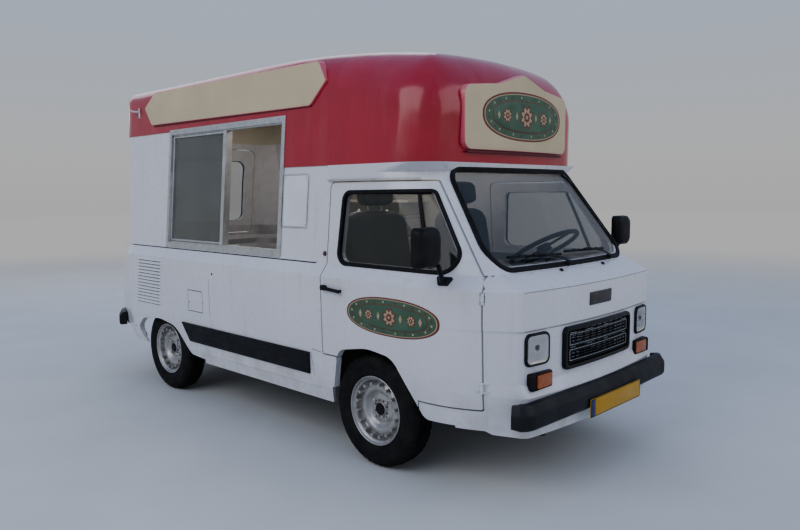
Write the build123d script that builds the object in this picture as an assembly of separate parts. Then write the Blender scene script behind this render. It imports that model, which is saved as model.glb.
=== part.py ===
from build123d import *
import math
import os

os.makedirs("parts", exist_ok=True)

# Small forward-control van with a rear engine, a raised moulded roof and a
# serving hatch in its right side.  Millimetres.  +X forward, +Y to the
# vehicle's left, +Z up; z = 0 is the ground, x = 0 half way along.

# ---------------------------------------------------------------- dimensions
LENGTH = 3730.0            # front bumper to rear bumper
HALF_LENGTH = LENGTH / 2
FRONT_AXLE_X = 1005.0
REAR_AXLE_X = -995.0
TYRE_R = 274.0
TYRE_W = 136.0
RIM_R = 167.0              # outside of the rim flange
FRONT_WHEEL_Y = 632.0      # middle of the tyre
REAR_WHEEL_Y = 622.0
KINGPIN_Y = 572.0

WALL = 35.0                # doors and body walls
ROOF_WALL = 28.0
BELT_Z = 902.0             # crease below the windows
SHOULDER_Z = 958.0         # top of the shoulder
CAB_TOP_Z = 1442.0         # lower edge of the roof moulding over the cab
BOX_TOP_Z = 1705.0         # lower edge of the roof moulding behind the hatch
ROOF_STEP_X = 285.0        # where that edge steps up
ROOF_TOP_Z = 2042.0
PANEL_GAP = 5.0
DOOR_GAP = 7.0

FRONT_SEAM_X = 1620.0      # front panel to door and sill
REAR_SEAM_X = -1392.0      # side to rear panel
POST_X = 660.0             # cab frame to upper side

# ------------------------------------------------------------------- helpers


def unit(ax, ay):
    n = math.hypot(ax, ay)
    return ax / n, ay / n


def ring(corners, place):
    """Closed wire through corners (a, b, radius); place(a, b) gives the point."""
    n = len(corners)
    turns = []
    for i, (a, b, r) in enumerate(corners):
        pa, pb, _ = corners[i - 1]
        na, nb, _ = corners[(i + 1) % n]
        u = unit(pa - a, pb - b)
        v = unit(na - a, nb - b)
        half = math.acos(max(-1.0, min(1.0, u[0] * v[0] + u[1] * v[1]))) / 2
        if r <= 0:
            turns.append(((a, b), None, (a, b)))
            continue
        t = r / math.tan(half)
        w = unit(u[0] + v[0], u[1] + v[1])
        d = r / math.sin(half) - r
        turns.append(((a + u[0] * t, b + u[1] * t),
                      (a + w[0] * d, b + w[1] * d),
                      (a + v[0] * t, b + v[1] * t)))
    edges = []
    for i, (s, m, e) in enumerate(turns):
        if m:
            edges.append(Edge.make_three_point_arc(place(*s), place(*m), place(*e)))
        nxt = turns[(i + 1) % n][0]
        if math.hypot(nxt[0] - e[0], nxt[1] - e[1]) > 1e-4:
            edges.append(Edge.make_line(place(*e), place(*nxt)))
    return Wire(edges)


def grow(corners, d):
    """Move every side of a closed outline outwards by d (inwards if negative)."""
    n = len(corners)
    area = sum(corners[i - 1][0] * corners[i][1] - corners[i][0] * corners[i - 1][1]
               for i in range(n))
    s = 1.0 if area > 0 else -1.0
    sides = []
    for i in range(n):
        a, b = corners[i - 1], corners[i]
        ux, uy = unit(b[0] - a[0], b[1] - a[1])
        sides.append((a[0] + s * uy * d, a[1] - s * ux * d, ux, uy))
    out = []
    for i in range(n):
        x1, y1, ux, uy = sides[i]
        x2, y2, vx, vy = sides[(i + 1) % n]
        k = ux * vy - uy * vx
        t = ((x2 - x1) * vy - (y2 - y1) * vx) / k
        turn = k * s
        r = corners[i][2]
        if r > 0:
            r = max(r + d if turn > 0 else r - d, 4.0)
        out.append((x1 + ux * t, y1 + uy * t, r))
    return out


def prism_y(corners, y0, y1):
    """Outline in X and Z, drawn out along Y."""
    f = Face(ring(corners, lambda a, b: Vector(a, y0, b)))
    return Solid.extrude(f, Vector(0, y1 - y0, 0))


def prism_x(corners, x0, x1):
    """Outline in Y and Z, drawn out along X."""
    f = Face(ring(corners, lambda a, b: Vector(x0, a, b)))
    return Solid.extrude(f, Vector(x1 - x0, 0, 0))


def prism_z(corners, z0, z1):
    """Outline in X and Y, drawn out along Z."""
    f = Face(ring(corners, lambda a, b: Vector(a, b, z0)))
    return Solid.extrude(f, Vector(0, 0, z1 - z0))


def box(x0, x1, y0, y1, z0, z1):
    return Pos((x0 + x1) / 2, (y0 + y1) / 2, (z0 + z1) / 2) * Box(
        abs(x1 - x0), abs(y1 - y0), abs(z1 - z0))


def rod(p, q, r):
    p, q = Vector(*p), Vector(*q)
    pl = Plane(origin=p, z_dir=q - p)
    return pl * (Pos(0, 0, (q - p).length / 2) * Cylinder(r, (q - p).length))


def cyl_y(x, z, r, y0, y1):
    return rod((x, y0, z), (x, y1, z), r)


def flip(shape):
    """The same piece on the other side of the vehicle."""
    return mirror(shape, about=Plane.XZ)


def solids_of(shape):
    return [s for s in shape.solids() if s.volume > 500.0]


def hinge(p, along, toward, out, r):
    """Barrel hinge: the part on the moving piece, the part on the fixed piece
    and the room cut for it in both.  along: pin; toward: the moving piece."""
    pl = Plane(origin=Vector(*p), x_dir=Vector(*toward), z_dir=Vector(*along))
    s = 1 if pl.y_dir.dot(Vector(*out)) > 0 else -1
    pin_r, half = 0.5 * r, 1.7 * r
    def leaf(e, z, h):
        return Pos(e * 1.95 * r, -s * 0.55 * r, z) * Box(2.9 * r, 0.7 * r, h) \
            + Pos(e * 2.6 * r, -s * 1.6 * r, z) * Box(1.6 * r, 1.5 * r, h)

    moving = Cylinder(r, 2 * half) + leaf(1, 0, 2 * half)
    moving = moving - Cylinder(pin_r + 0.3, 2 * half + 2)
    fixed = Cylinder(pin_r, 2 * half + 2)
    for e in (-1, 1):
        zc = e * (half + 0.6 + 0.6 * r)
        fixed = fixed + Pos(0, 0, zc) * Cylinder(r, 1.2 * r)
        fixed = fixed + leaf(-1, zc, 1.2 * r)
    room = Cylinder(1.4 * r, 2 * (half + 0.6 + 1.2 * r) + 2)
    return pl * moving, pl * fixed, pl * room


WRITTEN = []


def save(node, *shapes):
    parts = []
    for s in shapes:
        parts += solids_of(s)
    c = parts[0] if len(parts) == 1 else Compound(children=parts)
    export_step(c, f"parts/{node}.step")
    WRITTEN.append(node)


# --------------------------------------------------------------- body outline
# One row per height: middle of the nose, nose corner, side corner ahead of
# the door, side corner ahead of the tail, tail corner.  Right half; the left
# half is its mirror image.
LOWER = [
    # z    nose   corner at the nose   front of the side   back of the side      tail
    # z    xf     x     y    r         x     y    r        x      y    r         x      y    r
    (262,  1830, (1762, 545, 60),     (1470, 708, 450),   (-1330, 708, 150),    (-1740, 580, 110)),
    (335,  1838, (1770, 555, 55),     (1475, 720, 500),   (-1370, 722, 180),    (-1775, 610, 110)),
    (455,  1843, (1775, 562, 55),     (1480, 731, 550),   (-1400, 734, 220),    (-1790, 611, 110)),
    (508,  1818, (1748, 572, 60),     (1485, 735, 600),   (-1402, 738, 225),    (-1792, 615, 112)),
    (620,  1818, (1748, 573, 60),     (1487, 739, 600),   (-1405, 742, 230),    (-1795, 619, 115)),
    (726,  1818, (1748, 574, 60),     (1490, 742, 600),   (-1408, 743, 230),    (-1795, 603, 115)),
    (737,  1824, (1754, 576, 42),     (1490, 742, 600),   (-1408, 743, 230),    (-1795, 602, 115)),
    (897,  1820, (1750, 578, 42),     (1490, 745, 600),   (-1410, 745, 230),    (-1793, 581, 115)),
    (958,  1678, (1628, 575, 60),     (1460, 700, 450),   (-1400, 700, 150),    (-1765, 599, 110)),
]
LOWER_INSIDE_Z = [235, 330, 442, 508, 620, 726, 737, 880, 925, 960]    # the last repeats the shoulder
UPPER = [
    (958,  1678, (1628, 575, 60),     (1460, 700, 450),   (-1436, 700, 6),      (-1765, 599, 110)),
    (1040, 1614, (1569, 561, 60),     (1404, 693, 450),   (-1444, 693, 6),      (-1740, 545, 100)),
    (1400, 1338, (1307, 497, 60),     (1155, 663, 400),   (-1478, 663, 6),      (-1700, 540, 80)),
    (1725, 1098, (1070, 440, 60),     (930, 636, 400),    (-1524, 636, 6),      (-1640, 560, 60)),
]
UPPER_INSIDE_Z = [957, 1040, 1400, 1726]
ROOF_PLAN = [
    (1442, 1330, (1322, 578, 140),    (1228, 665, 140),   (-1486, 665, 8),      (-1695, 545, 60)),
    (1705, 1348, (1340, 556, 140),    (1244, 643, 140),   (-1520, 643, 8),      (-1645, 562, 50)),
    (2090, 1368, (1360, 523, 140),    (1264, 610, 140),   (-1580, 610, 8),      (-1600, 590, 12)),
]
NOSE_R = 3800.0            # bow of the nose and windscreen seen from above
CAP_Z = 1400.0             # from here the cab widens out to the roof moulding


def plan(row, d=0.0):
    z, xf, n, s, b, t = row
    half = [(n[0], -n[1], n[2]), (s[0], -s[1], s[2]), (b[0], -b[1], b[2]), (t[0], -t[1], t[2])]
    pts = [(xf, 0.0, NOSE_R)] + half + [(x, -y, r) for x, y, r in reversed(half)]
    return grow(pts, d) if d else pts


def hull(rows, d=0.0, heights=None):
    wires = []
    for i, row in enumerate(rows):
        z = heights[i] if heights else row[0]
        wires.append(ring(plan(row, d), lambda a, b, z=z: Vector(a, b, z)))
    return Solid.make_loft(wires, ruled=True)


lower_outer = hull(LOWER)
lower_inner = hull(LOWER + [LOWER[-1]], -WALL, LOWER_INSIDE_Z)
upper_outer = hull(UPPER)
upper_inner = hull(UPPER, -WALL, UPPER_INSIDE_Z)
CAP = [UPPER[2], ROOF_PLAN[0]]
cap = hull(CAP) - hull(CAP, -WALL, [CAP_Z - 1, CAB_TOP_Z + 1])


def upper_skin(out, inn):
    """Sheet between two offsets of the upper body's outside."""
    return hull(UPPER, out) - hull(UPPER, inn, [950, 1040, 1400, 1730])


lower = lower_outer - lower_inner
upper = upper_outer - upper_inner

# bottom edge ahead of the front arch and of the tail
FRONT_HEM = [(1345, 150, 0), (1345, 312, 0), (1442, 308, 0), (1616, 303, 0), (1642, 288, 0), (1900, 272, 0), (1900, 150, 0)]
REAR_HEM = [(-1200, 150, 0), (-1200, 289, 0), (-1400, 296, 60), (-1560, 345, 60), (-1900, 372, 0), (-1900, 150, 0)]
lower = lower - prism_y(FRONT_HEM, -900, 900) - prism_y(REAR_HEM, -900, 900)

# ------------------------------------------------------------------- openings
FRONT_ARCH = [(700, 150, 0), (795, 545, 70), (1000, 582, 300), (1165, 562, 120), (1350, 316, 50), (1500, 316, 0), (1500, 150, 0)]
REAR_ARCH = [(-1165, 150, 0), (-1165, 240, 0), (-1335, 385, 40), (-1235, 462, 90), (-1000, 487, 400), (-800, 458, 180),
             (-635, 296, 60), (-480, 286, 0), (-480, 150, 0)]
front_arch = prism_y(FRONT_ARCH, -900, 900)
rear_arch = prism_y(REAR_ARCH, -900, 900)
# room for the tyres: the front ones turn about their kingpins
tyre_room = []
for side in (-1, 1):
    ball = Pos(FRONT_AXLE_X, side * KINGPIN_Y, TYRE_R) * Sphere(309)
    tyre_room.append(ball - box(500, 1500, -1000, 1000, 562, 700))
    y0, y1 = sorted((side * 500, side * 703))
    tyre_room.append(cyl_y(REAR_AXLE_X, TYRE_R, 300, y0, y1))

# Door: outline seen from the side
DOOR = [(685, 512, 0), (787, 512, 0), (787, 300, 0), (1313, 300, 0), (1313, 396, 0), (1613, 396, 6), (1613, 897, 0),
        (1597, 935, 0), (1572, 965, 0), (1289, 1356, 14), (690, 1356, 30), (685, 900, 0)]
DOOR_WINDOW = [(772, 973, 45), (1516, 973, 55), (1292, 1304, 25), (797, 1301, 35)]
# how far the door reaches round the corner towards the windscreen, seen from ahead
DOOR_REACH = [(-1000, 200, 0), (-1000, 1500, 0), (-463, 1500, 0), (-562, 940, 0), (-562, 200, 0)]
door_cut = prism_y(DOOR, -900, -300) & prism_x(DOOR_REACH, 0, 2000)
door_hole = prism_y(grow(DOOR, DOOR_GAP), -900, -300) & prism_x(grow(DOOR_REACH, PANEL_GAP), 0, 2000)
window_cut = prism_y(DOOR_WINDOW, -900, -300) & prism_x(grow(DOOR_REACH, -8), 0, 2000)

WINDSCREEN = [(-562, 984, 85), (562, 984, 85), (488, 1396, 62), (-488, 1396, 62)]
HATCH = (-905.0, 272.0, 995.0, 1682.0)       # x0, x1, z0, z1 of the opening
FRAME = (-933.0, 302.0, 965.0, 1716.0)       # outside of its frame
MULLION_X = -281.0
TAILGATE = [(-480, 985, 45), (480, 985, 45), (480, 1655, 60), (-480, 1655, 60)]
TAIL_WINDOW = [(-400, 1085, 60), (400, 1085, 60), (400, 1565, 70), (-400, 1565, 70)]
ENGINE_LID = [(-430, 520, 40), (430, 520, 40), (430, 868, 40), (-430, 868, 40)]
FLAP = (-611.0, -447.0, 586.0, 711.0)

# ---------------------------------------------------------------------- hinges
DOOR_HINGE = (1617.5, -660.5)
DOOR_HINGE_Z = (493.0, 869.0)
FORWARD = (math.cos(math.radians(32.7)), math.sin(math.radians(32.7)), 0)     # along the panel at the seam
OUTWARD = (FORWARD[1], -FORWARD[0], 0)
BACKWARD = (-FORWARD[0], -FORWARD[1], 0)
door_hinges = [hinge((*DOOR_HINGE, z), (0, 0, 1), BACKWARD, OUTWARD, 8) for z in DOOR_HINGE_Z]
TAILGATE_HINGE = (-1656.5, 1657.5)
LID_HINGE = (-1797.0, 870.5)
tailgate_hinges = [hinge((TAILGATE_HINGE[0], y, TAILGATE_HINGE[1]), (0, 1, 0), (0, 0, -1), (-1, 0, 0), 7) for y in (-300, 300)]
lid_hinges = [hinge((LID_HINGE[0], y, LID_HINGE[1]), (0, 1, 0), (0, 0, -1), (-1, 0, 0), 6) for y in (-260, 260)]
FLAP_HINGE = (-444.5, -744.5, 648.5)
flap_hinge = hinge(FLAP_HINGE, (0, 0, 1), (-1, 0, 0), (0, -1, 0), 3.5)


def fit(shape, hinges, which):
    """Cut the room for the hinges, then add their moving (0) or fixed (1) part."""
    for h in hinges:
        shape = shape - h[2]
    for h in hinges:
        shape = shape + h[which]
    return shape


# --------------------------------------------------------------- lower panels
sides = lower & box(REAR_SEAM_X, FRONT_SEAM_X, -900, 900, 100, SHOULDER_Z)
sides = sides - front_arch - rear_arch
for side in (-1, 1):
    sides = sides - rod((FRONT_AXLE_X, side * KINGPIN_Y, 250), (FRONT_AXLE_X, side * KINGPIN_Y, 345), 309)
    sides = sides - cyl_y(REAR_AXLE_X, TYRE_R, 300, *sorted((side * 500, side * 700)))
right = (sides & box(-2000, 2000, -900, 0, 0, 1200)) - door_hole
right = Compound(children=[q for q in right.solids() if q.volume > 2e5])
left = flip(right)
fx0, fx1, fz0, fz1 = FLAP
right = right - box(fx0 - 5, fx1 + 5, -900, -722, fz0 - 5, fz1 + 5)
save("body_side_right", fit(right, [flap_hinge], 1))
save("body_side_left", left)
flap = lower_outer & box(fx0, fx1, -900, -733, fz0, fz1)
save("fuel_flap", fit(flap, [flap_hinge], 0))

front_panel = lower & box(FRONT_SEAM_X, 2000, -900, 900, 100, SHOULDER_Z)
front_panel = fit(front_panel, door_hinges + [tuple(flip(q) for q in h) for h in door_hinges], 1)
save("front_panel", front_panel)

rear_lower = lower & box(-2000, REAR_SEAM_X, -900, 900, 100, SHOULDER_Z)
rear_upper = upper & box(-2000, REAR_SEAM_X, -900, 900, SHOULDER_Z, BOX_TOP_Z)
rear_panel = rear_lower + rear_upper
tail_box_hole = prism_x(grow(TAILGATE, PANEL_GAP), -1900, -1450)
lid_hole = prism_x(grow(ENGINE_LID, PANEL_GAP), -1900, -1450)
rear_panel = rear_panel - tail_box_hole - lid_hole
save("rear_panel", fit(rear_panel, tailgate_hinges + lid_hinges, 1))
tailgate = (upper & prism_x(TAILGATE, -1900, -1450)) - prism_x(TAIL_WINDOW, -1900, -1450)
save("tailgate", fit(tailgate, tailgate_hinges, 0))
save("tailgate_glass", upper_skin(-12, -17) & prism_x(grow(TAIL_WINDOW, -0.5), -1900, -1450))
save("engine_lid", fit(lower & prism_x(ENGINE_LID, -1900, -1450), lid_hinges, 0))

# --------------------------------------------------------------- upper panels
cab = (upper & box(POST_X, 1800, -900, 900, SHOULDER_Z, CAP_Z)) + (cap & box(POST_X, 1800, -900, 900, CAP_Z, CAB_TOP_Z))
cab = cab - door_hole - flip(door_hole) - prism_x(WINDSCREEN, 1150, 1800)
save("cab_frame", cab)
save("windscreen", upper_skin(-10, -16) & prism_x(grow(WINDSCREEN, -0.5), 1150, 1800))

side_up = upper & box(REAR_SEAM_X, POST_X, -900, 0, SHOULDER_Z, BOX_TOP_Z)
side_up = side_up - box(ROOF_STEP_X, 2000, -900, 900, CAB_TOP_Z, 1800) - door_hole
save("upper_side_left", flip(side_up))
hx0, hx1, hz0, hz1 = HATCH
save("upper_side_right", side_up - box(hx0, hx1, -900, -300, hz0, hz1))

# ----------------------------------------------------------------- door pieces
# node, side
lower_door = (lower & door_cut) - front_arch
upper_door = (upper & door_cut & box(-2000, 2000, -900, 0, SHOULDER_Z, CAB_TOP_Z)) - window_cut
door = fit(lower_door + upper_door, door_hinges, 0)
pane = prism_y(grow(DOOR_WINDOW, -0.5), -900, -300) & prism_x(grow(DOOR_REACH, -8), 0, 2000)
glass = (pane & hull(UPPER, -10)) - hull(UPPER, -16, [950, 1040, 1400, 1730])
MIRROR_HEAD = [(-903, 1000, 24), (-765, 1000, 24), (-765, 1165, 24), (-903, 1165, 24)]
mirror_head = prism_x(MIRROR_HEAD, 1440, 1500) - prism_x(grow(MIRROR_HEAD, -9), 1440, 1446)
mirror_foot = (hull(LOWER, 14) - lower_outer) & box(1408, 1486, -800, -640, 912, 950)
mirror_arm = rod((1482, -792, 1014), (1452, -712, 932), 11) - mirror_head - lower_outer - upper_outer
for side, turn in (("right", lambda s: s), ("left", flip)):
    save(f"door_{side}", turn(door))
    save(f"door_glass_{side}", turn(glass))
    save(f"mirror_{side}", turn(mirror_head + mirror_arm + mirror_foot))

# ------------------------------------------------------------------- high roof
ROOF_SECTION = [(-790, 1400, 0), (-614, 2003, 85), (0, ROOF_TOP_Z + 8, 3200), (614, 2003, 85), (790, 1400, 0)]
ROOF_PROFILE = [(1336, 1400, 0), (1358, 1925, 215), (900, ROOF_TOP_Z - 4, 2200), (246, ROOF_TOP_Z + 2, 4000), (-1800, ROOF_TOP_Z + 2, 0), (-1800, 1400, 0)]


def roof_solid(d):
    a = hull(ROOF_PLAN, d)
    b = prism_x(grow(ROOF_SECTION, d), -1900, 1600)
    c = prism_y(grow(ROOF_PROFILE, d), -900, 900)
    return a & b & c


roof_outer = roof_solid(0)
step_block = box(-2000, ROOF_STEP_X, -900, 900, 1300, BOX_TOP_Z)
roof = (roof_outer - roof_solid(-ROOF_WALL)) - step_block
# the lower edge lies on the walls below, so the part inside them is the same
roof = roof & box(-2000, 2000, -900, 900, CAB_TOP_Z, 2200)
save("high_roof", roof)

SIGN_FRONT = [(-430, 1500, 45), (430, 1500, 45), (430, 1790, 45), (190, 1815, 120), (0, 1872, 60), (-190, 1815, 120), (-430, 1790, 45)]
sign_front = prism_x(SIGN_FRONT, 1250, 1358) - roof_outer
SIGN_SIDE = [(-1280, 1884, 12), (-1150, 1976, 40), (565, 1966, 40), (628, 1860, 12), (510, 1746, 40), (-1172, 1762, 40)]
sign_side = (hull(ROOF_PLAN, 20) & prism_y(SIGN_SIDE, -900, -300)) - roof_outer
save("roof_signs", sign_front, sign_side, flip(sign_side))

# --------------------------------------------------------------- serving hatch
qx0, qx1, qz0, qz1 = FRAME
band = hull(UPPER, 9) - upper_outer
frame = (band & box(qx0, qx1, -900, -300, qz0, qz1)) - box(hx0, hx1, -900, -300, hz0, hz1) - roof_outer
liner = (upper & box(hx0, hx1, -900, -300, hz0, hz1)) \
    - box(hx0 + 8, hx1 - 8, -900, -300, hz0 + 8, hz1 - 8)
post = (hull(UPPER, 6) - upper_inner) & box(MULLION_X - 15, MULLION_X + 15, -900, -300, hz0 + 8, hz1 - 8)
save("hatch_frame", frame + liner + post)
pane_a = upper_skin(-8, -13) & box(hx0 + 8, MULLION_X - 15, -900, -300, hz0 + 8, hz1 - 8)
pane_b = upper_skin(-22, -27) & box(hx0 + 8, MULLION_X - 15, -900, -300, hz0 + 8, hz1 - 8)
save("hatch_glass", pane_a, pane_b)

# ----------------------------------------------------------------------- floor
FLOOR_Z = (340.0, 372.0)
DECK_Z = (700.0, 725.0)
DECK_X = -640.0
inside_low = hull(LOWER + [LOWER[-1]], -WALL, LOWER_INSIDE_Z)
slab = box(DECK_X, 1700, -800, 800, *FLOOR_Z) & inside_low
wells = None
well_room = None
for side in (-1, 1):
    y0, y1 = sorted((side * 390, side * 800))
    yi0, yi1 = sorted((side * 402, side * 800))
    outer = box(665, 1345, y0, y1, FLOOR_Z[0], 612) & inside_low
    hollow = box(677, 1333, yi0, yi1, 100, 600)
    slab = slab - box(665, 1345, y0, y1, 300, 400)
    piece = outer - hollow
    wells = piece if wells is None else wells + piece
for t in tyre_room:
    wells = wells - t
deck = box(-1765, DECK_X, -800, 800, *DECK_Z) & inside_low
riser = box(DECK_X, DECK_X + 14, -800, 800, FLOOR_Z[1], DECK_Z[1]) & inside_low
save("floor_pan", slab + wells + deck + riser)

# ---------------------------------------------------------------------- wheels


def revolve_y(profile, x, y, z, flip_side):
    """Turn a closed outline of (radius, distance outboard) about the wheel's axis."""
    w = Wire([Edge.make_line(Vector(profile[i - 1][0], 0, profile[i - 1][1]), Vector(p[0], 0, p[1]))
              for i, p in enumerate(profile)])
    s = revolve(Face(w), Axis.Z, 360)
    # the profile's height is the distance outboard
    s = s.rotate(Axis.X, 90 if flip_side < 0 else -90)
    return Pos(x, y, z) * s


# distance outboard is measured from the middle of the tyre
TYRE = [(160, 52), (168, 58), (200, 66), (232, 68), (252, 64), (268, 52), (274, 40), (274, -40), (268, -52), (252, -64),
        (232, -68), (200, -66), (168, -58), (160, -52)]
WHEELS = [
    # name           x             y                 side
    ("front_right", FRONT_AXLE_X, -FRONT_WHEEL_Y, -1),
    ("front_left", FRONT_AXLE_X, FRONT_WHEEL_Y, 1),
    ("rear_right", REAR_AXLE_X, -REAR_WHEEL_Y, -1),
    ("rear_left", REAR_AXLE_X, REAR_WHEEL_Y, 1),
]
RIM = [(16.3, -36), (46, -36), (46, -2), (66, 4), (86, 24), (112, 28), (136, 16), (142, -52), (166, -61), (166, -57.9),
       (159.8, -51.9), (150, 30), (159.8, 52.5), (167, 58), (167, 63), (158, 63), (145, 50), (140, 26), (112, 36), (80, 31),
       (58, 12), (40, 9), (40, 22), (16.3, 22)]
for name, x, y, side in WHEELS:
    save(f"tyre_{name}", revolve_y(TYRE, x, y, TYRE_R, side))
    save(f"rim_{name}", revolve_y(RIM, x, y, TYRE_R, side))

# --------------------------------------------------------------- running gear
beam = box(FRONT_AXLE_X - 35, FRONT_AXLE_X + 35, -470, 470, 196, 232)
eyes = None
for side in (-1, 1):
    for z0, z1 in ((206, 228), (320, 342)):
        y0, y1 = sorted((side * 455, side * (KINGPIN_Y + 16)))
        arm = box(FRONT_AXLE_X - 22, FRONT_AXLE_X + 22, y0, y1, z0, z1)
        eyes = arm if eyes is None else eyes + arm
    tower = box(FRONT_AXLE_X - 22, FRONT_AXLE_X + 22, *sorted((side * 435, side * 470)), 228, 345)
    pin = rod((FRONT_AXLE_X, side * KINGPIN_Y, 206), (FRONT_AXLE_X, side * KINGPIN_Y, 342), 9)
    eyes = eyes + tower + pin
mounts_up = box(FRONT_AXLE_X - 35, FRONT_AXLE_X + 35, -300, -240, 232, 340) + box(FRONT_AXLE_X - 35, FRONT_AXLE_X + 35, 240, 300, 232, 340)
save("front_axle", beam + eyes + mounts_up)
for side, name in ((-1, "right"), (1, "left")):
    sleeve = rod((FRONT_AXLE_X, side * KINGPIN_Y, 234), (FRONT_AXLE_X, side * KINGPIN_Y, 314), 17)
    stub = cyl_y(FRONT_AXLE_X, TYRE_R, 16, side * (KINGPIN_Y + 8), side * (FRONT_WHEEL_Y + 22))
    plate = cyl_y(FRONT_AXLE_X, TYRE_R, 14, side * (KINGPIN_Y + 8), side * (KINGPIN_Y + 15))
    lever = box(FRONT_AXLE_X - 110, FRONT_AXLE_X, *sorted((side * (KINGPIN_Y - 14), side * (KINGPIN_Y + 2))), 244, 262)
    k = sleeve + stub + plate + lever
    k = k - rod((FRONT_AXLE_X, side * KINGPIN_Y, 200), (FRONT_AXLE_X, side * KINGPIN_Y, 350), 9.3)
    save(f"knuckle_{name}", k)

rear = rod((REAR_AXLE_X, -(REAR_WHEEL_Y - 66), TYRE_R), (REAR_AXLE_X, REAR_WHEEL_Y - 66, TYRE_R), 20)
for side in (-1, 1):
    stub = cyl_y(REAR_AXLE_X, TYRE_R, 16, side * (REAR_WHEEL_Y - 68), side * (REAR_WHEEL_Y + 22))
    arm = rod((REAR_AXLE_X, side * 500, TYRE_R), (-560, side * 330, 300), 24)
    foot = box(-590, -530, *sorted((side * 290, side * 370)), 300, FLOOR_Z[0])
    rear = rear + stub + arm + foot
engine = box(-1620, -1080, -265, 265, 300, 690)
gearbox = box(-1080, -830, -110, 110, 225, 420)
save("rear_axle", rear - gearbox)
save("engine_block", engine + gearbox)

# ------------------------------------------------------------------- fittings
PLATE_T = 4.0
BUMPER_FRONT = [(1866, 0, 9000), (1846, -640, 85), (1560, -800, 0), (1560, 800, 0), (1846, 640, 85)]
bumper = (prism_z(BUMPER_FRONT, 344, 452) - lower_outer) & box(1752, HALF_LENGTH - PLATE_T, -900, 900, 300, 500)
save("front_bumper", bumper)
BUMPER_REAR = [(-1868, 0, 9000), (-1862, 625, 100), (-1640, 724, 60), (-1300, 790, 0), (-1300, -790, 0), (-1640, -724, 60), (-1862, -625, 100)]
bumper = (prism_z(BUMPER_REAR, 345, 452) - lower_outer) & box(-HALF_LENGTH, -1655, -900, 900, 300, 500)
save("rear_bumper", bumper)

GRILLE = [(-302, 530, 28), (302, 530, 28), (302, 720, 28), (-302, 720, 28)]
save("grille", prism_x(GRILLE, 1700, 1797) - lower_outer)
LAMP = [(-77, -70, 30), (77, -70, 30), (77, 70, 30), (-77, 70, 30)]
lamps = []
for y in (-474, 474):
    lamps.append(prism_x([(a + y, b + 651, r) for a, b, r in LAMP], 1690, 1774) - lower_outer)
turns = []
for y in (-459, 459):
    turns.append((box(1690, 1790, y - 74, y + 74, 480, 552)) - lower_outer)
save("front_lamps", *lamps, *turns)
tails = []
for y in (-520, 520):
    tails.append((box(-1800, -1700, y - 45, y + 45, 560, 800) & hull(LOWER, 18)) - lower_outer)
save("tail_lights", *tails)
front_plate = box(HALF_LENGTH - PLATE_T, HALF_LENGTH, -195, 285, 306, 391)
rear_plate = box(-1800, -1780, -170, 170, 458, 514) - lower_outer
save("number_plates", front_plate, rear_plate)
MOULD = [(-700, 500, 0), (-620, 386, 0), (568, 386, 0), (578, 500, 0)]
mould = (hull(LOWER, 9) & prism_y(MOULD, -900, -300)) - lower_outer
save("side_mouldings", mould, flip(mould))

wiper_parts = []
for y0, y1 in ((-60, -480), (360, -60)):
    arm = rod((1672, y0, 975), (1646, (y0 + y1) / 2, 1003), 5)
    blade = rod((1640, (y0 + y1) / 2 + 180, 1011), (1640, (y0 + y1) / 2 - 180, 1011), 6)
    wiper_parts.append((arm + blade) - upper_outer)
save("wipers", *wiper_parts)

# ----------------------------------------------------------------------- inside
DASH = [(1430, 800, 30), (1640, 770, 30), (1640, 900, 15), (1570, 912, 20), (1440, 905, 30)]
dash = prism_y(DASH, -545, 545) & inside_low
save("dashboard", dash)
seat_parts = []
seats = []
for side in (-1, 1):
    y0, y1 = sorted((side * 130, side * 590))
    cushion = prism_y([(790, 660, 30), (1240, 680, 40), (1250, 770, 40), (800, 760, 30)], y0 + 10, y1 - 10)
    back = prism_y([(690, 740, 30), (790, 740, 20), (705, 1215, 40), (620, 1200, 40)], y0 + 10, y1 - 10)
    head = prism_y([(655, 1235, 25), (720, 1240, 25), (700, 1370, 30), (640, 1365, 30)], y0 + 110, y1 - 110)
    stalk = rod((672, (y0 + y1) / 2, 1190), (678, (y0 + y1) / 2, 1250), 8)
    seats.append(cushion + back + head + stalk)
    seat_parts.append(box(820, 1220, y0 + 30, y1 - 30, 612, 662) - cushion)
save("cab_seats", *seats)
save("seat_frames", *seat_parts)
WHEEL_C = Vector(1270, 340, 1000)
COLUMN_DIR = Vector(-0.5, 0, 0.866).normalized()
col_top = WHEEL_C - COLUMN_DIR * 28
col_bot = WHEEL_C - COLUMN_DIR * 560
save("steering_column", rod(tuple(col_bot), tuple(col_top), 22) - dash)
pl = Plane(origin=WHEEL_C, z_dir=COLUMN_DIR)
rim = pl * Torus(192, 12)
hub = pl * (Pos(0, 0, -2) * Cylinder(38, 34))
spokes = pl * Box(370, 26, 8)
save("steering_wheel", rim + hub + spokes)

cx0, cx1 = -620.0, 290.0
counter = box(cx0, cx1, -640, -330, FLOOR_Z[1], 930) - box(cx0 + 20, cx1 - 20, -620, -300, FLOOR_Z[1] + 60, 905)
top = box(-890, 300, -655, -300, 930, 955) & inside_low
save("serving_counter", (counter & inside_low) + top)
freezer = box(-560, 240, 250, 640, FLOOR_Z[1], 1010)
save("freezer_cabinet", (freezer & inside_low) + box(-560, 240, 250, 600, 930, 1010))

# towing eyes: a lug with a cross hole at each end
eyes = []
for x, sx in ((1660, 1), (-1640, -1)):
    lug = box(x, x + sx * 70, -372, -348, 240, 300) + box(x - sx * 60, x + sx * 30, -380, -340, 300, FLOOR_Z[0] if sx > 0 else 322)
    lug = lug - cyl_y(x + sx * 40, 268, 14, -400, -300)
    eyes.append(lug)
save("tow_eyes", *eyes)
print(len(WRITTEN), "nodes")
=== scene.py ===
import bpy
import bmesh
import math
from mathutils import Matrix, Vector, Quaternion
from mathutils.bvhtree import BVHTree


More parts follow.
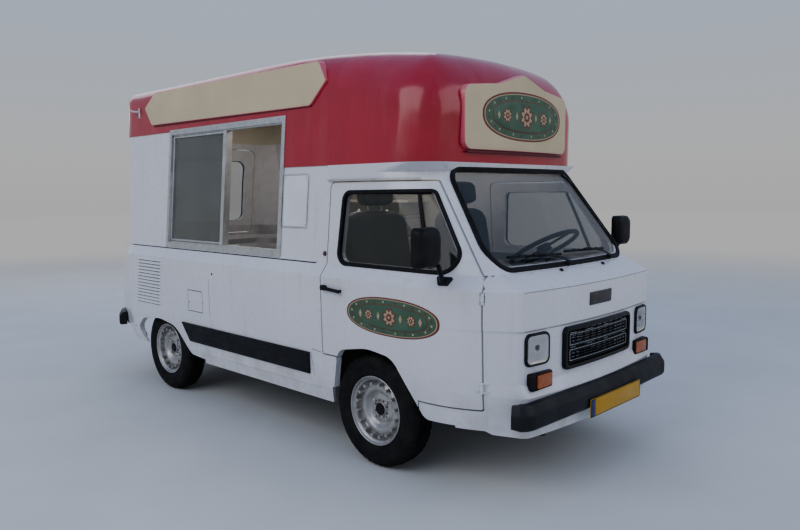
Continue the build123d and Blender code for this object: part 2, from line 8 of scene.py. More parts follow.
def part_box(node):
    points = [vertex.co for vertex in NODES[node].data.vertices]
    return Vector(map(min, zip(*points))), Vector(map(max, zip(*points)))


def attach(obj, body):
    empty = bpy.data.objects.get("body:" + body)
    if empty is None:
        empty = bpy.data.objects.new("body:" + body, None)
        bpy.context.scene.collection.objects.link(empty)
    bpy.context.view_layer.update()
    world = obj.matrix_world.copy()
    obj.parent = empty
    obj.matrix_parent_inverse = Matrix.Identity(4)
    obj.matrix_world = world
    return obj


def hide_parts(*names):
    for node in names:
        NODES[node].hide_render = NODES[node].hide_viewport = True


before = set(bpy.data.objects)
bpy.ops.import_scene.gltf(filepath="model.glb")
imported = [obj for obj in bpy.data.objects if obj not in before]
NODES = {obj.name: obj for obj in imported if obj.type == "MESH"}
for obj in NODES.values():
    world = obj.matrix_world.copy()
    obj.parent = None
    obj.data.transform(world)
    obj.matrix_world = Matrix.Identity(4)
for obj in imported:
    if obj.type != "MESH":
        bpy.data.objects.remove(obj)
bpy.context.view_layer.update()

# ------------------------------------------------------------------ materials


def new_mat(name):
    m = bpy.data.materials.new(name)
    m.use_nodes = True
    nt = m.node_tree
    return m, nt, nt.nodes["Principled BSDF"]


def coords(nt, scale=(1, 1, 1)):
    tc = nt.nodes.new("ShaderNodeTexCoord")
    mp = nt.nodes.new("ShaderNodeMapping")
    mp.inputs["Scale"].default_value = scale
    nt.links.new(tc.outputs["Object"], mp.inputs["Vector"])
    return mp.outputs["Vector"]


def noise(nt, vec, scale, detail=4, rough=0.55):
    n = nt.nodes.new("ShaderNodeTexNoise")
    n.inputs["Scale"].default_value = scale
    n.inputs["Detail"].default_value = detail
    n.inputs["Roughness"].default_value = rough
    nt.links.new(vec, n.inputs["Vector"])
    return n.outputs["Fac"]


def ramp(nt, fac, stops):
    r = nt.nodes.new("ShaderNodeValToRGB")
    e = r.color_ramp.elements
    while len(e) < len(stops):
        e.new(0.5)
    for el, (p, c) in zip(e, stops):
        el.position = p
        el.color = c if len(c) == 4 else (*c, 1)
    nt.links.new(fac, r.inputs["Fac"])
    return r.outputs["Color"]


def remap(nt, fac, a, b, c, d):
    m = nt.nodes.new("ShaderNodeMapRange")
    for i, v in zip(("From Min", "From Max", "To Min", "To Max"), (a, b, c, d)):
        m.inputs[i].default_value = v
    nt.links.new(fac, m.inputs["Value"])
    return m.outputs["Result"]


def math_node(nt, op, a, b):
    m = nt.nodes.new("ShaderNodeMath")
    m.operation = op
    for i, v in enumerate((a, b)):
        if isinstance(v, (int, float)):
            m.inputs[i].default_value = v
        else:
            nt.links.new(v, m.inputs[i])
    return m.outputs[0]


def mix(nt, fac, a, b):
    m = nt.nodes.new("ShaderNodeMix")
    m.data_type = "RGBA"
    for sock, v in ((m.inputs[0], fac), (m.inputs[6], a), (m.inputs[7], b)):
        if isinstance(v, tuple):
            sock.default_value = v if len(v) == 4 else (*v, 1)
        elif isinstance(v, (int, float)):
            sock.default_value = v
        else:
            nt.links.new(v, sock)
    return m.outputs[2]


def bump(nt, bsdf, height, strength, dist):
    b = nt.nodes.new("ShaderNodeBump")
    b.inputs["Strength"].default_value = strength
    b.inputs["Distance"].default_value = dist
    nt.links.new(height, b.inputs["Height"])
    nt.links.new(b.outputs["Normal"], bsdf.inputs["Normal"])


def basic(name, c0, c1, r0, r1, scale=6.0, metallic=0.0, coat=0.0, fine=(60, 0.15, 0.0006), stretch=(1, 1, 1), spec=0.5):
    """Two close colours and roughnesses mixed by noise, with a fine bump."""
    m, nt, b = new_mat(name)
    v = coords(nt, stretch)
    n = noise(nt, v, scale, 6)
    nt.links.new(ramp(nt, n, [(0.32, c0), (0.68, c1)]), b.inputs["Base Color"])
    nt.links.new(remap(nt, noise(nt, v, scale * 2.3, 5), 0.3, 0.7, r0, r1), b.inputs["Roughness"])
    b.inputs["Metallic"].default_value = metallic
    b.inputs["Coat Weight"].default_value = coat
    b.inputs["Coat Roughness"].default_value = 0.06
    b.inputs["Specular IOR Level"].default_value = spec
    if fine:
        bump(nt, b, noise(nt, coords(nt), fine[0], 4), fine[1], fine[2])
    return m


def separate(nt):
    tc = nt.nodes.new("ShaderNodeTexCoord")
    s = nt.nodes.new("ShaderNodeSeparateXYZ")
    nt.links.new(tc.outputs["Object"], s.inputs[0])
    return s.outputs


def body_paint(name, base, grime, dirt_top=0.55, streaks=True):
    """Old white enamel: slight tone changes, grime low down, faint runs, orange peel."""
    m, nt, b = new_mat(name)
    x, y, z = separate(nt)
    v = coords(nt)
    tone = mix(nt, remap(nt, noise(nt, v, 2.2, 5), 0.35, 0.65, 0, 1), base, tuple(0.95 * c for c in base))
    low = remap(nt, z, 0.26, dirt_top, 1.0, 0.0)
    patchy = remap(nt, noise(nt, v, 9, 8, 0.65), 0.42, 0.68, 0.0, 1.0)
    mask = math_node(nt, "MULTIPLY", math_node(nt, "MULTIPLY", low, patchy), 0.55)
    col = mix(nt, mask, tone, grime)
    if streaks:
        runs = noise(nt, coords(nt, (26, 26, 1.3)), 1.0, 5, 0.6)
        run_mask = math_node(nt, "MULTIPLY", remap(nt, runs, 0.56, 0.74, 0, 1), 0.16)
        col = mix(nt, run_mask, col, tuple(0.6 * c for c in grime))
        specks = remap(nt, noise(nt, v, 75, 3, 0.5), 0.735, 0.765, 0.0, 0.55)
        col = mix(nt, specks, col, (0.19, 0.09, 0.05))
    nt.links.new(col, b.inputs["Base Color"])
    r = remap(nt, noise(nt, v, 12, 6), 0.3, 0.7, 0.22, 0.36)
    nt.links.new(math_node(nt, "ADD", r, math_node(nt, "MULTIPLY", mask, 0.4)), b.inputs["Roughness"])
    b.inputs["Coat Weight"].default_value = 0.35
    b.inputs["Coat Roughness"].default_value = 0.08
    peel = math_node(nt, "ADD", math_node(nt, "MULTIPLY", noise(nt, v, 7, 2), 1.6), math_node(nt, "MULTIPLY", noise(nt, v, 190, 2), 0.05))
    bump(nt, b, peel, 0.22, 0.004)
    return m


WHITE = (0.672, 0.672, 0.708)
paint = body_paint("white_paint", WHITE, (0.36, 0.32, 0.26))


def roof_paint():
    """Raspberry gel coat, a little chalky in vertical runs."""
    m, nt, b = new_mat("roof_gel_coat")
    v = coords(nt)
    red = mix(nt, remap(nt, noise(nt, v, 3, 6), 0.35, 0.65, 0, 1), (0.40, 0.022, 0.040), (0.34, 0.017, 0.032))
    chalk = math_node(nt, "MULTIPLY", remap(nt, noise(nt, coords(nt, (9, 9, 1.0)), 1.2, 6), 0.5, 0.75, 0, 1), 0.16)
    red = mix(nt, chalk, red, (0.45, 0.16, 0.17))
    nt.links.new(red, b.inputs["Base Color"])
    nt.links.new(remap(nt, noise(nt, v, 7, 5), 0.3, 0.7, 0.14, 0.26), b.inputs["Roughness"])
    b.inputs["Coat Weight"].default_value = 0.35
    b.inputs["Coat Roughness"].default_value = 0.09
    h = math_node(nt, "ADD", math_node(nt, "MULTIPLY", noise(nt, v, 4.5, 2), 2.0), math_node(nt, "MULTIPLY", noise(nt, v, 140, 2), 0.05))
    bump(nt, b, h, 0.3, 0.006)
    return m


gel = roof_paint()
cream = basic("sign_cream_paint", (0.585, 0.485, 0.33), (0.52, 0.43, 0.285), 0.35, 0.5, 3.0, fine=(120, 0.1, 0.0004))
# sign board rims: the boards' red edge coloured a lighter pink, a painted highlight along the rounded edges
rim_highlight_pink = basic("sign_rim_painted_highlight", (0.62, 0.16, 0.20), (0.55, 0.12, 0.16), 0.25, 0.4, 5.0, coat=0.3)
# a dark shaded copy of the roof red, used as painted shadow under the sign boards
sign_shadow_red = basic("painted_shadow_strip_red", (0.16, 0.010, 0.022), (0.11, 0.008, 0.018), 0.35, 0.5, 8.0)
green = basic("ornament_green", (0.050, 0.105, 0.066), (0.075, 0.145, 0.090), 0.45, 0.6, 14.0)
brown = basic("ornament_brown", (0.14, 0.033, 0.022), (0.19, 0.048, 0.030), 0.45, 0.6, 14.0)
ivory = basic("ornament_ivory", (0.46, 0.36, 0.24), (0.38, 0.29, 0.19), 0.45, 0.6, 14.0)
rubber = basic("seal_rubber", (0.005, 0.005, 0.006), (0.012, 0.012, 0.013), 0.45, 0.65, 12.0, fine=(90, 0.3, 0.0008), spec=0.22)
plastic = basic("black_moulded_plastic", (0.006, 0.006, 0.007), (0.014, 0.014, 0.016), 0.38, 0.58, 9.0, fine=(420, 0.35, 0.0004), spec=0.25)
bumper_plastic = basic("bumper_plastic", (0.008, 0.009, 0.011), (0.020, 0.021, 0.024), 0.36, 0.6, 5.0, fine=(300, 0.35, 0.0005), spec=0.3)
grille_plastic = basic("grille_plastic", (0.005, 0.005, 0.006), (0.010, 0.010, 0.011), 0.3, 0.45, 9.0, spec=0.3)
aluminium = basic("aluminium_frame", (0.62, 0.63, 0.64), (0.50, 0.51, 0.52), 0.28, 0.46, 20.0, metallic=0.9, stretch=(1, 1, 1), fine=(200, 0.2, 0.0003))
chrome = basic("worn_chrome", (0.66, 0.66, 0.66), (0.52, 0.51, 0.50), 0.10, 0.25, 22.0, metallic=1.0, fine=None)
silver = basic("wheel_silver_paint", (0.46, 0.45, 0.44), (0.34, 0.325, 0.315), 0.26, 0.45, 14.0, metallic=0.55, coat=0.15)
tyre_m = basic("tyre_rubber_black", (0.008, 0.008, 0.009), (0.020, 0.019, 0.018), 0.6, 0.85, 16.0, fine=(160, 0.35, 0.0008), spec=0.2)
chassis_m = basic("underseal_black", (0.012, 0.012, 0.012), (0.034, 0.031, 0.028), 0.6, 0.9, 12.0, fine=(70, 0.6, 0.002))
iron = basic("cast_iron_dark", (0.035, 0.033, 0.032), (0.075, 0.058, 0.045), 0.5, 0.8, 25.0, metallic=0.5, fine=(150, 0.5, 0.001))
engine_m = basic("engine_alloy", (0.19, 0.19, 0.185), (0.09, 0.085, 0.08), 0.45, 0.7, 10.0, metallic=0.7, fine=(120, 0.5, 0.001))
floor_m = basic("cab_floor_grey", (0.10, 0.10, 0.105), (0.15, 0.15, 0.15), 0.6, 0.8, 8.0, fine=(240, 0.5, 0.0008))
vinyl = basic("seat_vinyl_dark", (0.020, 0.020, 0.023), (0.038, 0.038, 0.042), 0.42, 0.6, 7.0, fine=(330, 0.5, 0.0006))
seat_steel = basic("seat_frame_paint", (0.05, 0.05, 0.052), (0.08, 0.08, 0.08), 0.4, 0.6, 12.0)
laminate = basic("counter_laminate", (0.70, 0.69, 0.66), (0.62, 0.61, 0.58), 0.3, 0.45, 5.0, fine=(260, 0.15, 0.0002))
rust = basic("hinge_rust", (0.16, 0.075, 0.035), (0.30, 0.25, 0.21), 0.6, 0.9, 60.0, metallic=0.3, fine=(220, 0.6, 0.001))
orange = basic("lens_orange", (0.46, 0.115, 0.006), (0.30, 0.060, 0.004), 0.12, 0.25, 30.0, coat=0.5, fine=None)
lens_red = basic("lens_red", (0.34, 0.012, 0.012), (0.25, 0.01, 0.01), 0.12, 0.25, 30.0, coat=0.5, fine=None)
lens_white = basic("lens_white", (0.70, 0.70, 0.69), (0.60, 0.60, 0.60), 0.12, 0.25, 30.0, coat=0.5, fine=None)
reflector = basic("lamp_reflector", (0.80, 0.79, 0.77), (0.66, 0.65, 0.63), 0.12, 0.28, 25.0, metallic=1.0, fine=None)
yellow = basic("plate_yellow", (0.50, 0.28, 0.012), (0.43, 0.235, 0.010), 0.3, 0.42, 9.0, fine=(160, 0.1, 0.0003))
blue = basic("plate_band_blue", (0.012, 0.020, 0.12), (0.010, 0.016, 0.09), 0.3, 0.42, 9.0)
badge_m = basic("badge_blank", (0.035, 0.033, 0.035), (0.06, 0.055, 0.055), 0.4, 0.55, 30.0)
board = basic("notice_board", (0.73, 0.74, 0.77), (0.66, 0.67, 0.70), 0.3, 0.42, 4.0, fine=(160, 0.05, 0.0002))
lock_m = basic("lock_brown", (0.09, 0.035, 0.03), (0.16, 0.08, 0.07), 0.3, 0.5, 60.0, metallic=0.4)
mirror_m = basic("mirror_silver", (0.82, 0.83, 0.84), (0.76, 0.77, 0.78), 0.02, 0.06, 4.0, metallic=1.0, fine=None)


def glass_mat(name, tint, alpha, r1=0.06):
    m, nt, b = new_mat(name)
    v = coords(nt)
    nt.links.new(ramp(nt, noise(nt, v, 5, 4), [(0.3, tint), (0.7, tuple(0.7 * c for c in tint))]), b.inputs["Base Color"])
    nt.links.new(remap(nt, noise(nt, v, 9, 6), 0.4, 0.75, 0.01, r1), b.inputs["Roughness"])
    b.inputs["IOR"].default_value = 1.5
    b.inputs["Alpha"].default_value = alpha
    b.inputs["Coat Weight"].default_value = 1.0
    b.inputs["Coat Roughness"].default_value = 0.02
    m.surface_render_method = "BLENDED"
    return m


lining = basic("interior_lining_cream", (0.62, 0.585, 0.49), (0.55, 0.515, 0.43), 0.45, 0.6, 4.0, fine=(180, 0.15, 0.0004))
glass = glass_mat("window_glass_clear", (0.030, 0.040, 0.040), 0.30)
glass_tint = glass_mat("hatch_glass_tinted", (0.12, 0.135, 0.13), 0.50, 0.12)
lamp_glass = glass_mat("lamp_glass_clear", (0.45, 0.46, 0.46), 0.10, 0.05)


def clay(node, m):
    me = NODES[node].data
    me.materials.clear()
    me.materials.append(m)


for n_, m_ in {
    "front_panel": paint, "rear_panel": paint, "body_side_right": paint, "body_side_left": paint, "upper_side_right": paint,
    "upper_side_left": paint, "cab_frame": paint, "door_right": paint, "door_left": paint, "tailgate": paint, "engine_lid": paint,
    "fuel_flap": paint, "high_roof": gel, "roof_signs": cream, "windscreen": glass, "door_glass_right": glass,
    "door_glass_left": glass, "tailgate_glass": glass, "hatch_glass": glass_tint, "hatch_frame": aluminium, "front_bumper": bumper_plastic,
    "rear_bumper": bumper_plastic, "side_mouldings": plastic, "number_plates": yellow, "mirror_right": plastic, "mirror_left": plastic,
    "dashboard": plastic, "steering_column": seat_steel, "steering_wheel": rubber, "seat_frames": seat_steel, "serving_counter": laminate,
    "freezer_cabinet": laminate, "floor_pan": floor_m, "front_axle": chassis_m, "rear_axle": chassis_m, "engine_block": engine_m,
    "knuckle_right": iron, "knuckle_left": iron, "tow_eyes": chassis_m, "wipers": plastic, "grille": grille_plastic,
    "front_lamps": plastic, "tail_lights": lens_red, "cab_seats": vinyl,
}.items():
    clay(n_, m_)
for n_ in NODES:
    if n_.startswith("tyre_"):
        clay(n_, tyre_m)
    if n_.startswith("rim_"):
        clay(n_, silver)

# -------------------------------------------------------------------- helpers


def mesh(name, verts, faces, m, body, smooth=True, sharp=40):
    me = bpy.data.meshes.new(name)
    me.from_pydata([tuple(v) for v in verts], [], faces)
    bm = bmesh.new()
    bm.from_mesh(me)
    bmesh.ops.remove_doubles(bm, verts=bm.verts, dist=1e-6)
    bmesh.ops.recalc_face_normals(bm, faces=bm.faces)
    bm.to_mesh(me)
    bm.free()
    if smooth:
        me.polygons.foreach_set("use_smooth", [True] * len(me.polygons))
        me.set_sharp_from_angle(angle=math.radians(sharp))
    me.materials.append(m)
    o = bpy.data.objects.new(name, me)
    bpy.context.scene.collection.objects.link(o)
    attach(o, body)
    return o


class Build:
    """Gathers several closed shells into one mesh."""

    def __init__(self):
        self.v, self.f = [], []

    def add(self, verts, faces):
        k = len(self.v)
        self.v += [Vector(v) for v in verts]
        self.f += [tuple(i + k for i in f) for f in faces]
        return self

    def box(self, c, u, v, w, bevel=0.0):
        """Box with centre c and half axes u, v, w, its edges cut by bevel (in metres)."""
        c, axes = Vector(c), [Vector(a) for a in (u, v, w)]
        le = [a.length for a in axes]
        if bevel <= 0:
            vs = [c + axes[0] * i + axes[1] * j + axes[2] * k for i in (-1, 1) for j in (-1, 1) for k in (-1, 1)]
            fs = [(0, 1, 3, 2), (4, 6, 7, 5), (0, 4, 5, 1), (2, 3, 7, 6), (0, 2, 6, 4), (1, 5, 7, 3)]
            return self.add(vs, fs)
        bm = bmesh.new()
        bmesh.ops.create_cube(bm, size=2.0)
        for vert in bm.verts:
            vert.co = Vector([vert.co[i] * le[i] for i in range(3)])
        bmesh.ops.bevel(bm, geom=list(bm.edges), offset=min(bevel, 0.9 * min(le)), segments=3, profile=0.5, affect="EDGES")
        un = [a.normalized() for a in axes]
        vs = [c + un[0] * q.co[0] + un[1] * q.co[1] + un[2] * q.co[2] for q in bm.verts]
        fs = [[q.index for q in f.verts] for f in bm.faces]
        bm.free()
        return self.add(vs, fs)

    def lathe(self, prof, at, axis, n=32, up=(0, 0, 1)):
        """Profile of (radius, along) about axis through at; closed if both ends are at radius 0."""
        ax = Vector(axis).normalized()
        e1 = Vector(up).cross(ax)
        if e1.length < 1e-3:
            e1 = Vector((1, 0, 0)).cross(ax)
        e1.normalize()
        e2 = ax.cross(e1)
        rows, vs, fs = [], [], []
        for r, h in prof:
            if r < 1e-7:
                rows.append([len(vs)] * n)
                vs.append(Vector(at) + ax * h)
            else:
                rows.append(list(range(len(vs), len(vs) + n)))
                for i in range(n):
                    a = 2 * math.pi * i / n
                    vs.append(Vector(at) + ax * h + (e1 * math.cos(a) + e2 * math.sin(a)) * r)
        for p, q in zip(rows, rows[1:]):
            for i in range(n):
                j = (i + 1) % n
                f = []
                for t in (p[i], p[j], q[j], q[i]):
                    if t not in f:
                        f.append(t)
                if len(f) > 2:
                    fs.append(tuple(f))
        return self.add(vs, fs)

    def sweep(self, path, normals, section, closed=True, side=None):
        """section of (across, out) carried along path; across is path direction x normal; side is not used."""
        n, k = len(path), len(section)
        vs, fs = [], []
        for i in range(n):
            a = path[(i - 1) % n] if closed or i > 0 else path[i]
            b = path[(i + 1) % n] if closed or i < n - 1 else path[i]
            t = (Vector(b) - Vector(a)).normalized()
            nn = Vector(normals[i])
            nn = (nn - t * nn.dot(t)).normalized()
            s = nn.cross(t)
            for p, q in section:
                vs.append(Vector(path[i]) + s * p + nn * q)
        for i in range(n if closed else n - 1):
            j = (i + 1) % n
            for m_ in range(k):
                l_ = (m_ + 1) % k
                fs.append((i * k + m_, i * k + l_, j * k + l_, j * k + m_))
        if not closed:
            fs.append(tuple(range(k)))
            fs.append(tuple((n - 1) * k + m_ for m_ in range(k)))
        return self.add(vs, fs)

    def tube(self, path, r, n=10, closed=False):
        prof = [(r * math.cos(2 * math.pi * i / n), r * math.sin(2 * math.pi * i / n)) for i in range(n)]
        norms = []
        for i in range(len(path)):
            a, b = Vector(path[max(i - 1, 0)]), Vector(path[min(i + 1, len(path) - 1)])
            t = (b - a).normalized()
            ref = Vector((0, 0, 1)) if abs(t.z) < 0.9 else Vector((1, 0, 0))
            norms.append((ref - t * ref.dot(t)).normalized())
        return self.sweep(path, norms, prof, closed)

    def plate(self, outline, place, thick, crown=0.0, edge=0.0015):
        """Flat closed outline (a, b) put at place(a, b, out), thick, with a softened front edge."""
        n = len(outline)
        ca = sum(p[0] for p in outline) / n
        cb = sum(p[1] for p in outline) / n
        rows = []

        def inset(k):
            out = []
            for i in range(n):
                pa, pb = outline[i - 1]
                na, nb = outline[(i + 1) % n]
                ta, tb = na - pa, nb - pb
                l_ = math.hypot(ta, tb) or 1
                s = 1 if area(outline) > 0 else -1
                out.append((outline[i][0] - s * tb / l_ * k, outline[i][1] + s * ta / l_ * k))
            return out

        rows.append([place(a, b, 0) for a, b in outline])
        rows.append([place(a, b, thick - edge) for a, b in outline])
        rows.append([place(a, b, thick - 0.3 * edge) for a, b in inset(0.3 * edge)])
        rows.append([place(a, b, thick) for a, b in inset(edge)])
        vs = [p for r in rows for p in r]
        fs = [(r * n + i, r * n + (i + 1) % n, (r + 1) * n + (i + 1) % n, (r + 1) * n + i) for r in range(3) for i in range(n)]
        k = len(vs)
        vs += [place(ca, cb, 0), place(ca, cb, thick + crown)]
        fs += [((i + 1) % n, i, k) for i in range(n)] + [(3 * n + i, 3 * n + (i + 1) % n, k + 1) for i in range(n)]
        return self.add(vs, fs)

    def make(self, name, m, body, slot=None, sharp=40):
        return mesh(name, self.v, self.f, m, body, True, sharp)


def area(pts):
    return 0.5 * sum(pts[i - 1][0] * pts[i][1] - pts[i][0] * pts[i - 1][1] for i in range(len(pts)))


def rounded(corners, seg=8):
    """Closed outline through corners (a, b, radius), arcs as points."""
    out, n = [], len(corners)
    for i, (a, b, r) in enumerate(corners):
        p, q = Vector(corners[i - 1][:2]), Vector(corners[(i + 1) % n][:2])
        c = Vector((a, b))
        if r <= 0:
            out.append((a, b))
            continue
        u, v = (p - c).normalized(), (q - c).normalized()
        half = math.acos(max(-1, min(1, u.dot(v)))) / 2
        t = r / math.tan(half)
        mid = c + (u + v).normalized() * (r / math.sin(half))
        s, e = c + u * t, c + v * t
        a0 = math.atan2(s.y - mid.y, s.x - mid.x)
        a1 = math.atan2(e.y - mid.y, e.x - mid.x)
        d = (a1 - a0 + math.pi) % (2 * math.pi) - math.pi
        for k in range(seg + 1):
            an = a0 + d * k / seg
            out.append((mid.x + r * math.cos(an), mid.y + r * math.sin(an)))
    return out


def dense(pts, step, closed=True):
    out = []
    n = len(pts)
    for i in range(n if closed else n - 1):
        a, b = Vector(pts[i]), Vector(pts[(i + 1) % n])
        k = max(1, int(math.ceil((b - a).length / step)))
        out += [tuple(a + (b - a) * j / k) for j in range(k)]
    if not closed:
        out.append(tuple(pts[-1]))
    return out


def grow(corners, d):
    n = len(corners)
    s = 1.0 if area([c[:2] for c in corners]) > 0 else -1.0
    sides = []
    for i in range(n):
        a, b = Vector(corners[i - 1][:2]), Vector(corners[i][:2])
        u = (b - a).normalized()
        sides.append((a.x + s * u.y * d, a.y - s * u.x * d, u.x, u.y))
    out = []
    for i in range(n):
        x1, y1, ux, uy = sides[i]
        x2, y2, vx, vy = sides[(i + 1) % n]
        k = ux * vy - uy * vx
        t = ((x2 - x1) * vy - (y2 - y1) * vx) / k
        r = corners[i][2]
        if r > 0:
            r = max(r + d if k * s > 0 else r - d, 0.004)
        out.append((x1 + ux * t, y1 + uy * t, r))
    return out


def tree(*names):
    vs, fs = [], []
    for nm in names:
        me = NODES[nm].data
        k = len(vs)
        vs += [v.co.copy() for v in me.vertices]
        fs += [tuple(i + k for i in p.vertices) for p in me.polygons]
    return BVHTree.FromPolygons(vs, fs)


def cast(bv, start, d):
    p, n, _, _ = bv.ray_cast(Vector(start), Vector(d))
    if p is None:
        raise ValueError(f"no surface below {tuple(start)}")
    if n.dot(Vector(d)) > 0:
        n = -n
    return p, n


SIDE_TREE = tree("body_side_right", "upper_side_right", "door_right", "cab_frame", "front_panel", "rear_panel", "high_roof", "fuel_flap")
SIDE_TREE_L = tree("body_side_left", "upper_side_left", "door_left", "cab_frame", "front_panel", "rear_panel", "high_roof")
FRONT_TREE = tree("front_panel", "cab_frame", "high_roof", "windscreen")
REAR_TREE = tree("rear_panel", "tailgate", "engine_lid", "tailgate_glass")


def on_side(x, z, s=-1):
    """Point and outward normal of the right (-1) or left (1) side at x, z."""
    return cast(SIDE_TREE if s < 0 else SIDE_TREE_L, (x, s * 1.2, z), (0, -s, 0))


def on_front(y, z):
    return cast(FRONT_TREE, (2.2, y, z), (-1, 0, 0))


def on_rear(y, z):
    return cast(REAR_TREE, (-2.2, y, z), (1, 0, 0))


def side_place(x0, z0, s=-1, lift=0.0):
    """Local frame on the side: a along +x, b up; out is away from the body."""
    def place(a, b, out):
        p, n = on_side(x0 + a, z0 + b, s)
        return p + Vector((0, s, 0)) * (out + lift)
    return place


# ------------------------------------------------------------ camera and stage
yaw, pitch, roll = math.radians(44.0429), math.radians(-5.9262), math.radians(-0.4126)
fwd = Vector((-math.sin(yaw) * math.cos(pitch), math.cos(yaw) * math.cos(pitch), math.sin(pitch)))
right = Vector((math.cos(yaw), math.sin(yaw), 0))
upv = right.cross(fwd)
r2 = right * math.cos(roll) + upv * math.sin(roll)
u2 = -right * math.sin(roll) + upv * math.cos(roll)
cam_d = bpy.data.cameras.new("camera")
cam_d.sensor_width = 36
cam_d.lens = 708.07 / 800 * 36
cam = bpy.data.objects.new("camera", cam_d)
cam.matrix_world = Matrix((
    (r2.x, u2.x, -fwd.x, 3.3754), (r2.y, u2.y, -fwd.y, -2.9630), (r2.z, u2.z, -fwd.z, 1.3107), (0, 0, 0, 1)))
bpy.context.scene.collection.objects.link(cam)
bpy.context.scene.camera = cam

fm, fnt, fb = new_mat("studio_floor")
# far from the van the floor fades into the pale horizon, so that no edge shows
geo = fnt.nodes.new("ShaderNodeNewGeometry")
far = fnt.nodes.new("ShaderNodeVectorMath")
far.operation = "LENGTH"
fnt.links.new(geo.outputs["Position"], far.inputs[0])
haze = fnt.nodes.new("ShaderNodeEmission")
haze.inputs["Color"].default_value = (0.61, 0.61, 0.61, 1)
haze.inputs["Strength"].default_value = 0.68
blend = fnt.nodes.new("ShaderNodeMixShader")
fnt.links.new(remap(fnt, far.outputs["Value"], 4.5, 13.0, 0.0, 1.0), blend.inputs[0])
fnt.links.new(fb.outputs[0], blend.inputs[1])
fnt.links.new(haze.outputs[0], blend.inputs[2])
fnt.links.new(blend.outputs[0], fnt.nodes["Material Output"].inputs["Surface"])
fnt.links.new(ramp(fnt, noise(fnt, coords(fnt), 1.5, 5), [(0.3, (0.60, 0.60, 0.59)), (0.7, (0.65, 0.65, 0.64))]), fb.inputs["Base Color"])
fb.inputs["Roughness"].default_value = 0.85
fb.inputs["Specular IOR Level"].default_value = 0.05
me = bpy.data.meshes.new("studio_floor")
me.from_pydata([(-40, -40, 0), (40, -40, 0), (40, 40, 0), (-40, 40, 0)], [], [(0, 1, 2, 3)])
me.materials.append(fm)
stage_floor = bpy.data.objects.new("studio_floor", me)
bpy.context.scene.collection.objects.link(stage_floor)

world = bpy.data.worlds.new("studio")
bpy.context.scene.world = world
world.use_nodes = True
wn = world.node_tree
bg = wn.nodes["Background"]
tc = wn.nodes.new("ShaderNodeTexCoord")
sep = wn.nodes.new("ShaderNodeSeparateXYZ")
wn.links.new(tc.outputs["Generated"], sep.inputs[0])
wr = wn.nodes.new("ShaderNodeValToRGB")
els = wr.color_ramp.elements
els.new(0.5)
els.new(0.55)
for el, (p, c) in zip(els, [(0.30, (0.42, 0.41, 0.40)), (0.52, (0.62, 0.62, 0.62)), (0.62, (0.55, 0.62, 0.74)), (0.86, (0.36, 0.50, 0.82))]):
    el.position = p
    el.color = (*c, 1)
mr = wn.nodes.new("ShaderNodeMapRange")
mr.inputs["From Min"].default_value = -1
mr.inputs["From Max"].default_value = 1
wn.links.new(sep.outputs[2], mr.inputs["Value"])
wn.links.new(mr.outputs[0], wr.inputs["Fac"])
wn.links.new(wr.outputs["Color"], bg.inputs["Color"])
bg.inputs["Strength"].default_value = 0.68
bpy.context.scene.view_settings.look = "AgX - Medium High Contrast"


def lamp(name, at, to, size, power, color=(1, 1, 1)):
    d = bpy.data.lights.new(name, "AREA")
    d.shape = "RECTANGLE"
    d.size, d.size_y = size
    d.energy = power
    d.color = color
    o = bpy.data.objects.new(name, d)
    o.location = at
    o.rotation_euler = (Vector(to) - Vector(at)).to_track_quat("-Z", "Y").to_euler()
    bpy.context.scene.collection.objects.link(o)


lamp("key", (0.5, -7.0, 5.5), (0, 0, 1.0), (8, 5), 205, (1.0, 0.985, 0.96))
lamp("front", (7.5, 2.0, 4.5), (0.8, 0, 0.9), (8, 5), 115, (1.0, 0.975, 0.95))
lamp("back", (-7.0, 3.0, 5.0), (0, 0, 1.2), (9, 6), 130, (1.0, 0.98, 0.95))
lamp("inside", (-0.45, 0.0, 1.93), (-0.45, 0.0, 0.9), (1.5, 0.7), 6, (1.0, 0.97, 0.90))
lamp("inside_cab", (0.75, 0.0, 1.90), (0.75, 0.0, 0.9), (0.7, 0.7), 3, (1.0, 0.98, 0.94))

# ------------------------------------------------------------------ roof shell


def round_join(a, b, r):
    m = max(a, b)
    return min(-r, m) + math.hypot(max(a + r, 0), max(b + r, 0))


def roof_depth(x, y, z):
    """How far a point lies outside the moulded roof (negative inside)."""
    ay = abs(y)
    side = ay - (0.665 - 0.084 * (z - 1.442))
    front = x - (1.332 + 0.055 * (z - 1.442)) + y * y / 7.6
    w = round_join(side, front, 0.173)
    t = max(0.0, min(1.0, x / 1.345))
    t = t * t * (3 - 2 * t)
    top = z - (2.0404 - 0.0904 * y * y - 0.0897 * max(0.0, x - 0.246) ** 2)
    f = round_join(w, top, 0.079 + 0.169 * t)
    tail = -x - 1.645 + 0.117 * (z - 1.705)
    chamfer = 0.839 * ay - 0.544 * x - 1.3664 - 0.0127 * (z - 1.705)
    return max(round_join(f, tail, 0.040), chamfer)


def roof_hit(o, d, inset):
    lo, hi = 0.0, 1.5
    for _ in range(24):
        mid = (lo + hi) / 2
        if roof_depth(*(o + d * mid)) + inset < 0:
            lo = mid
        else:
            hi = mid
    return o + d * ((lo + hi) / 2)


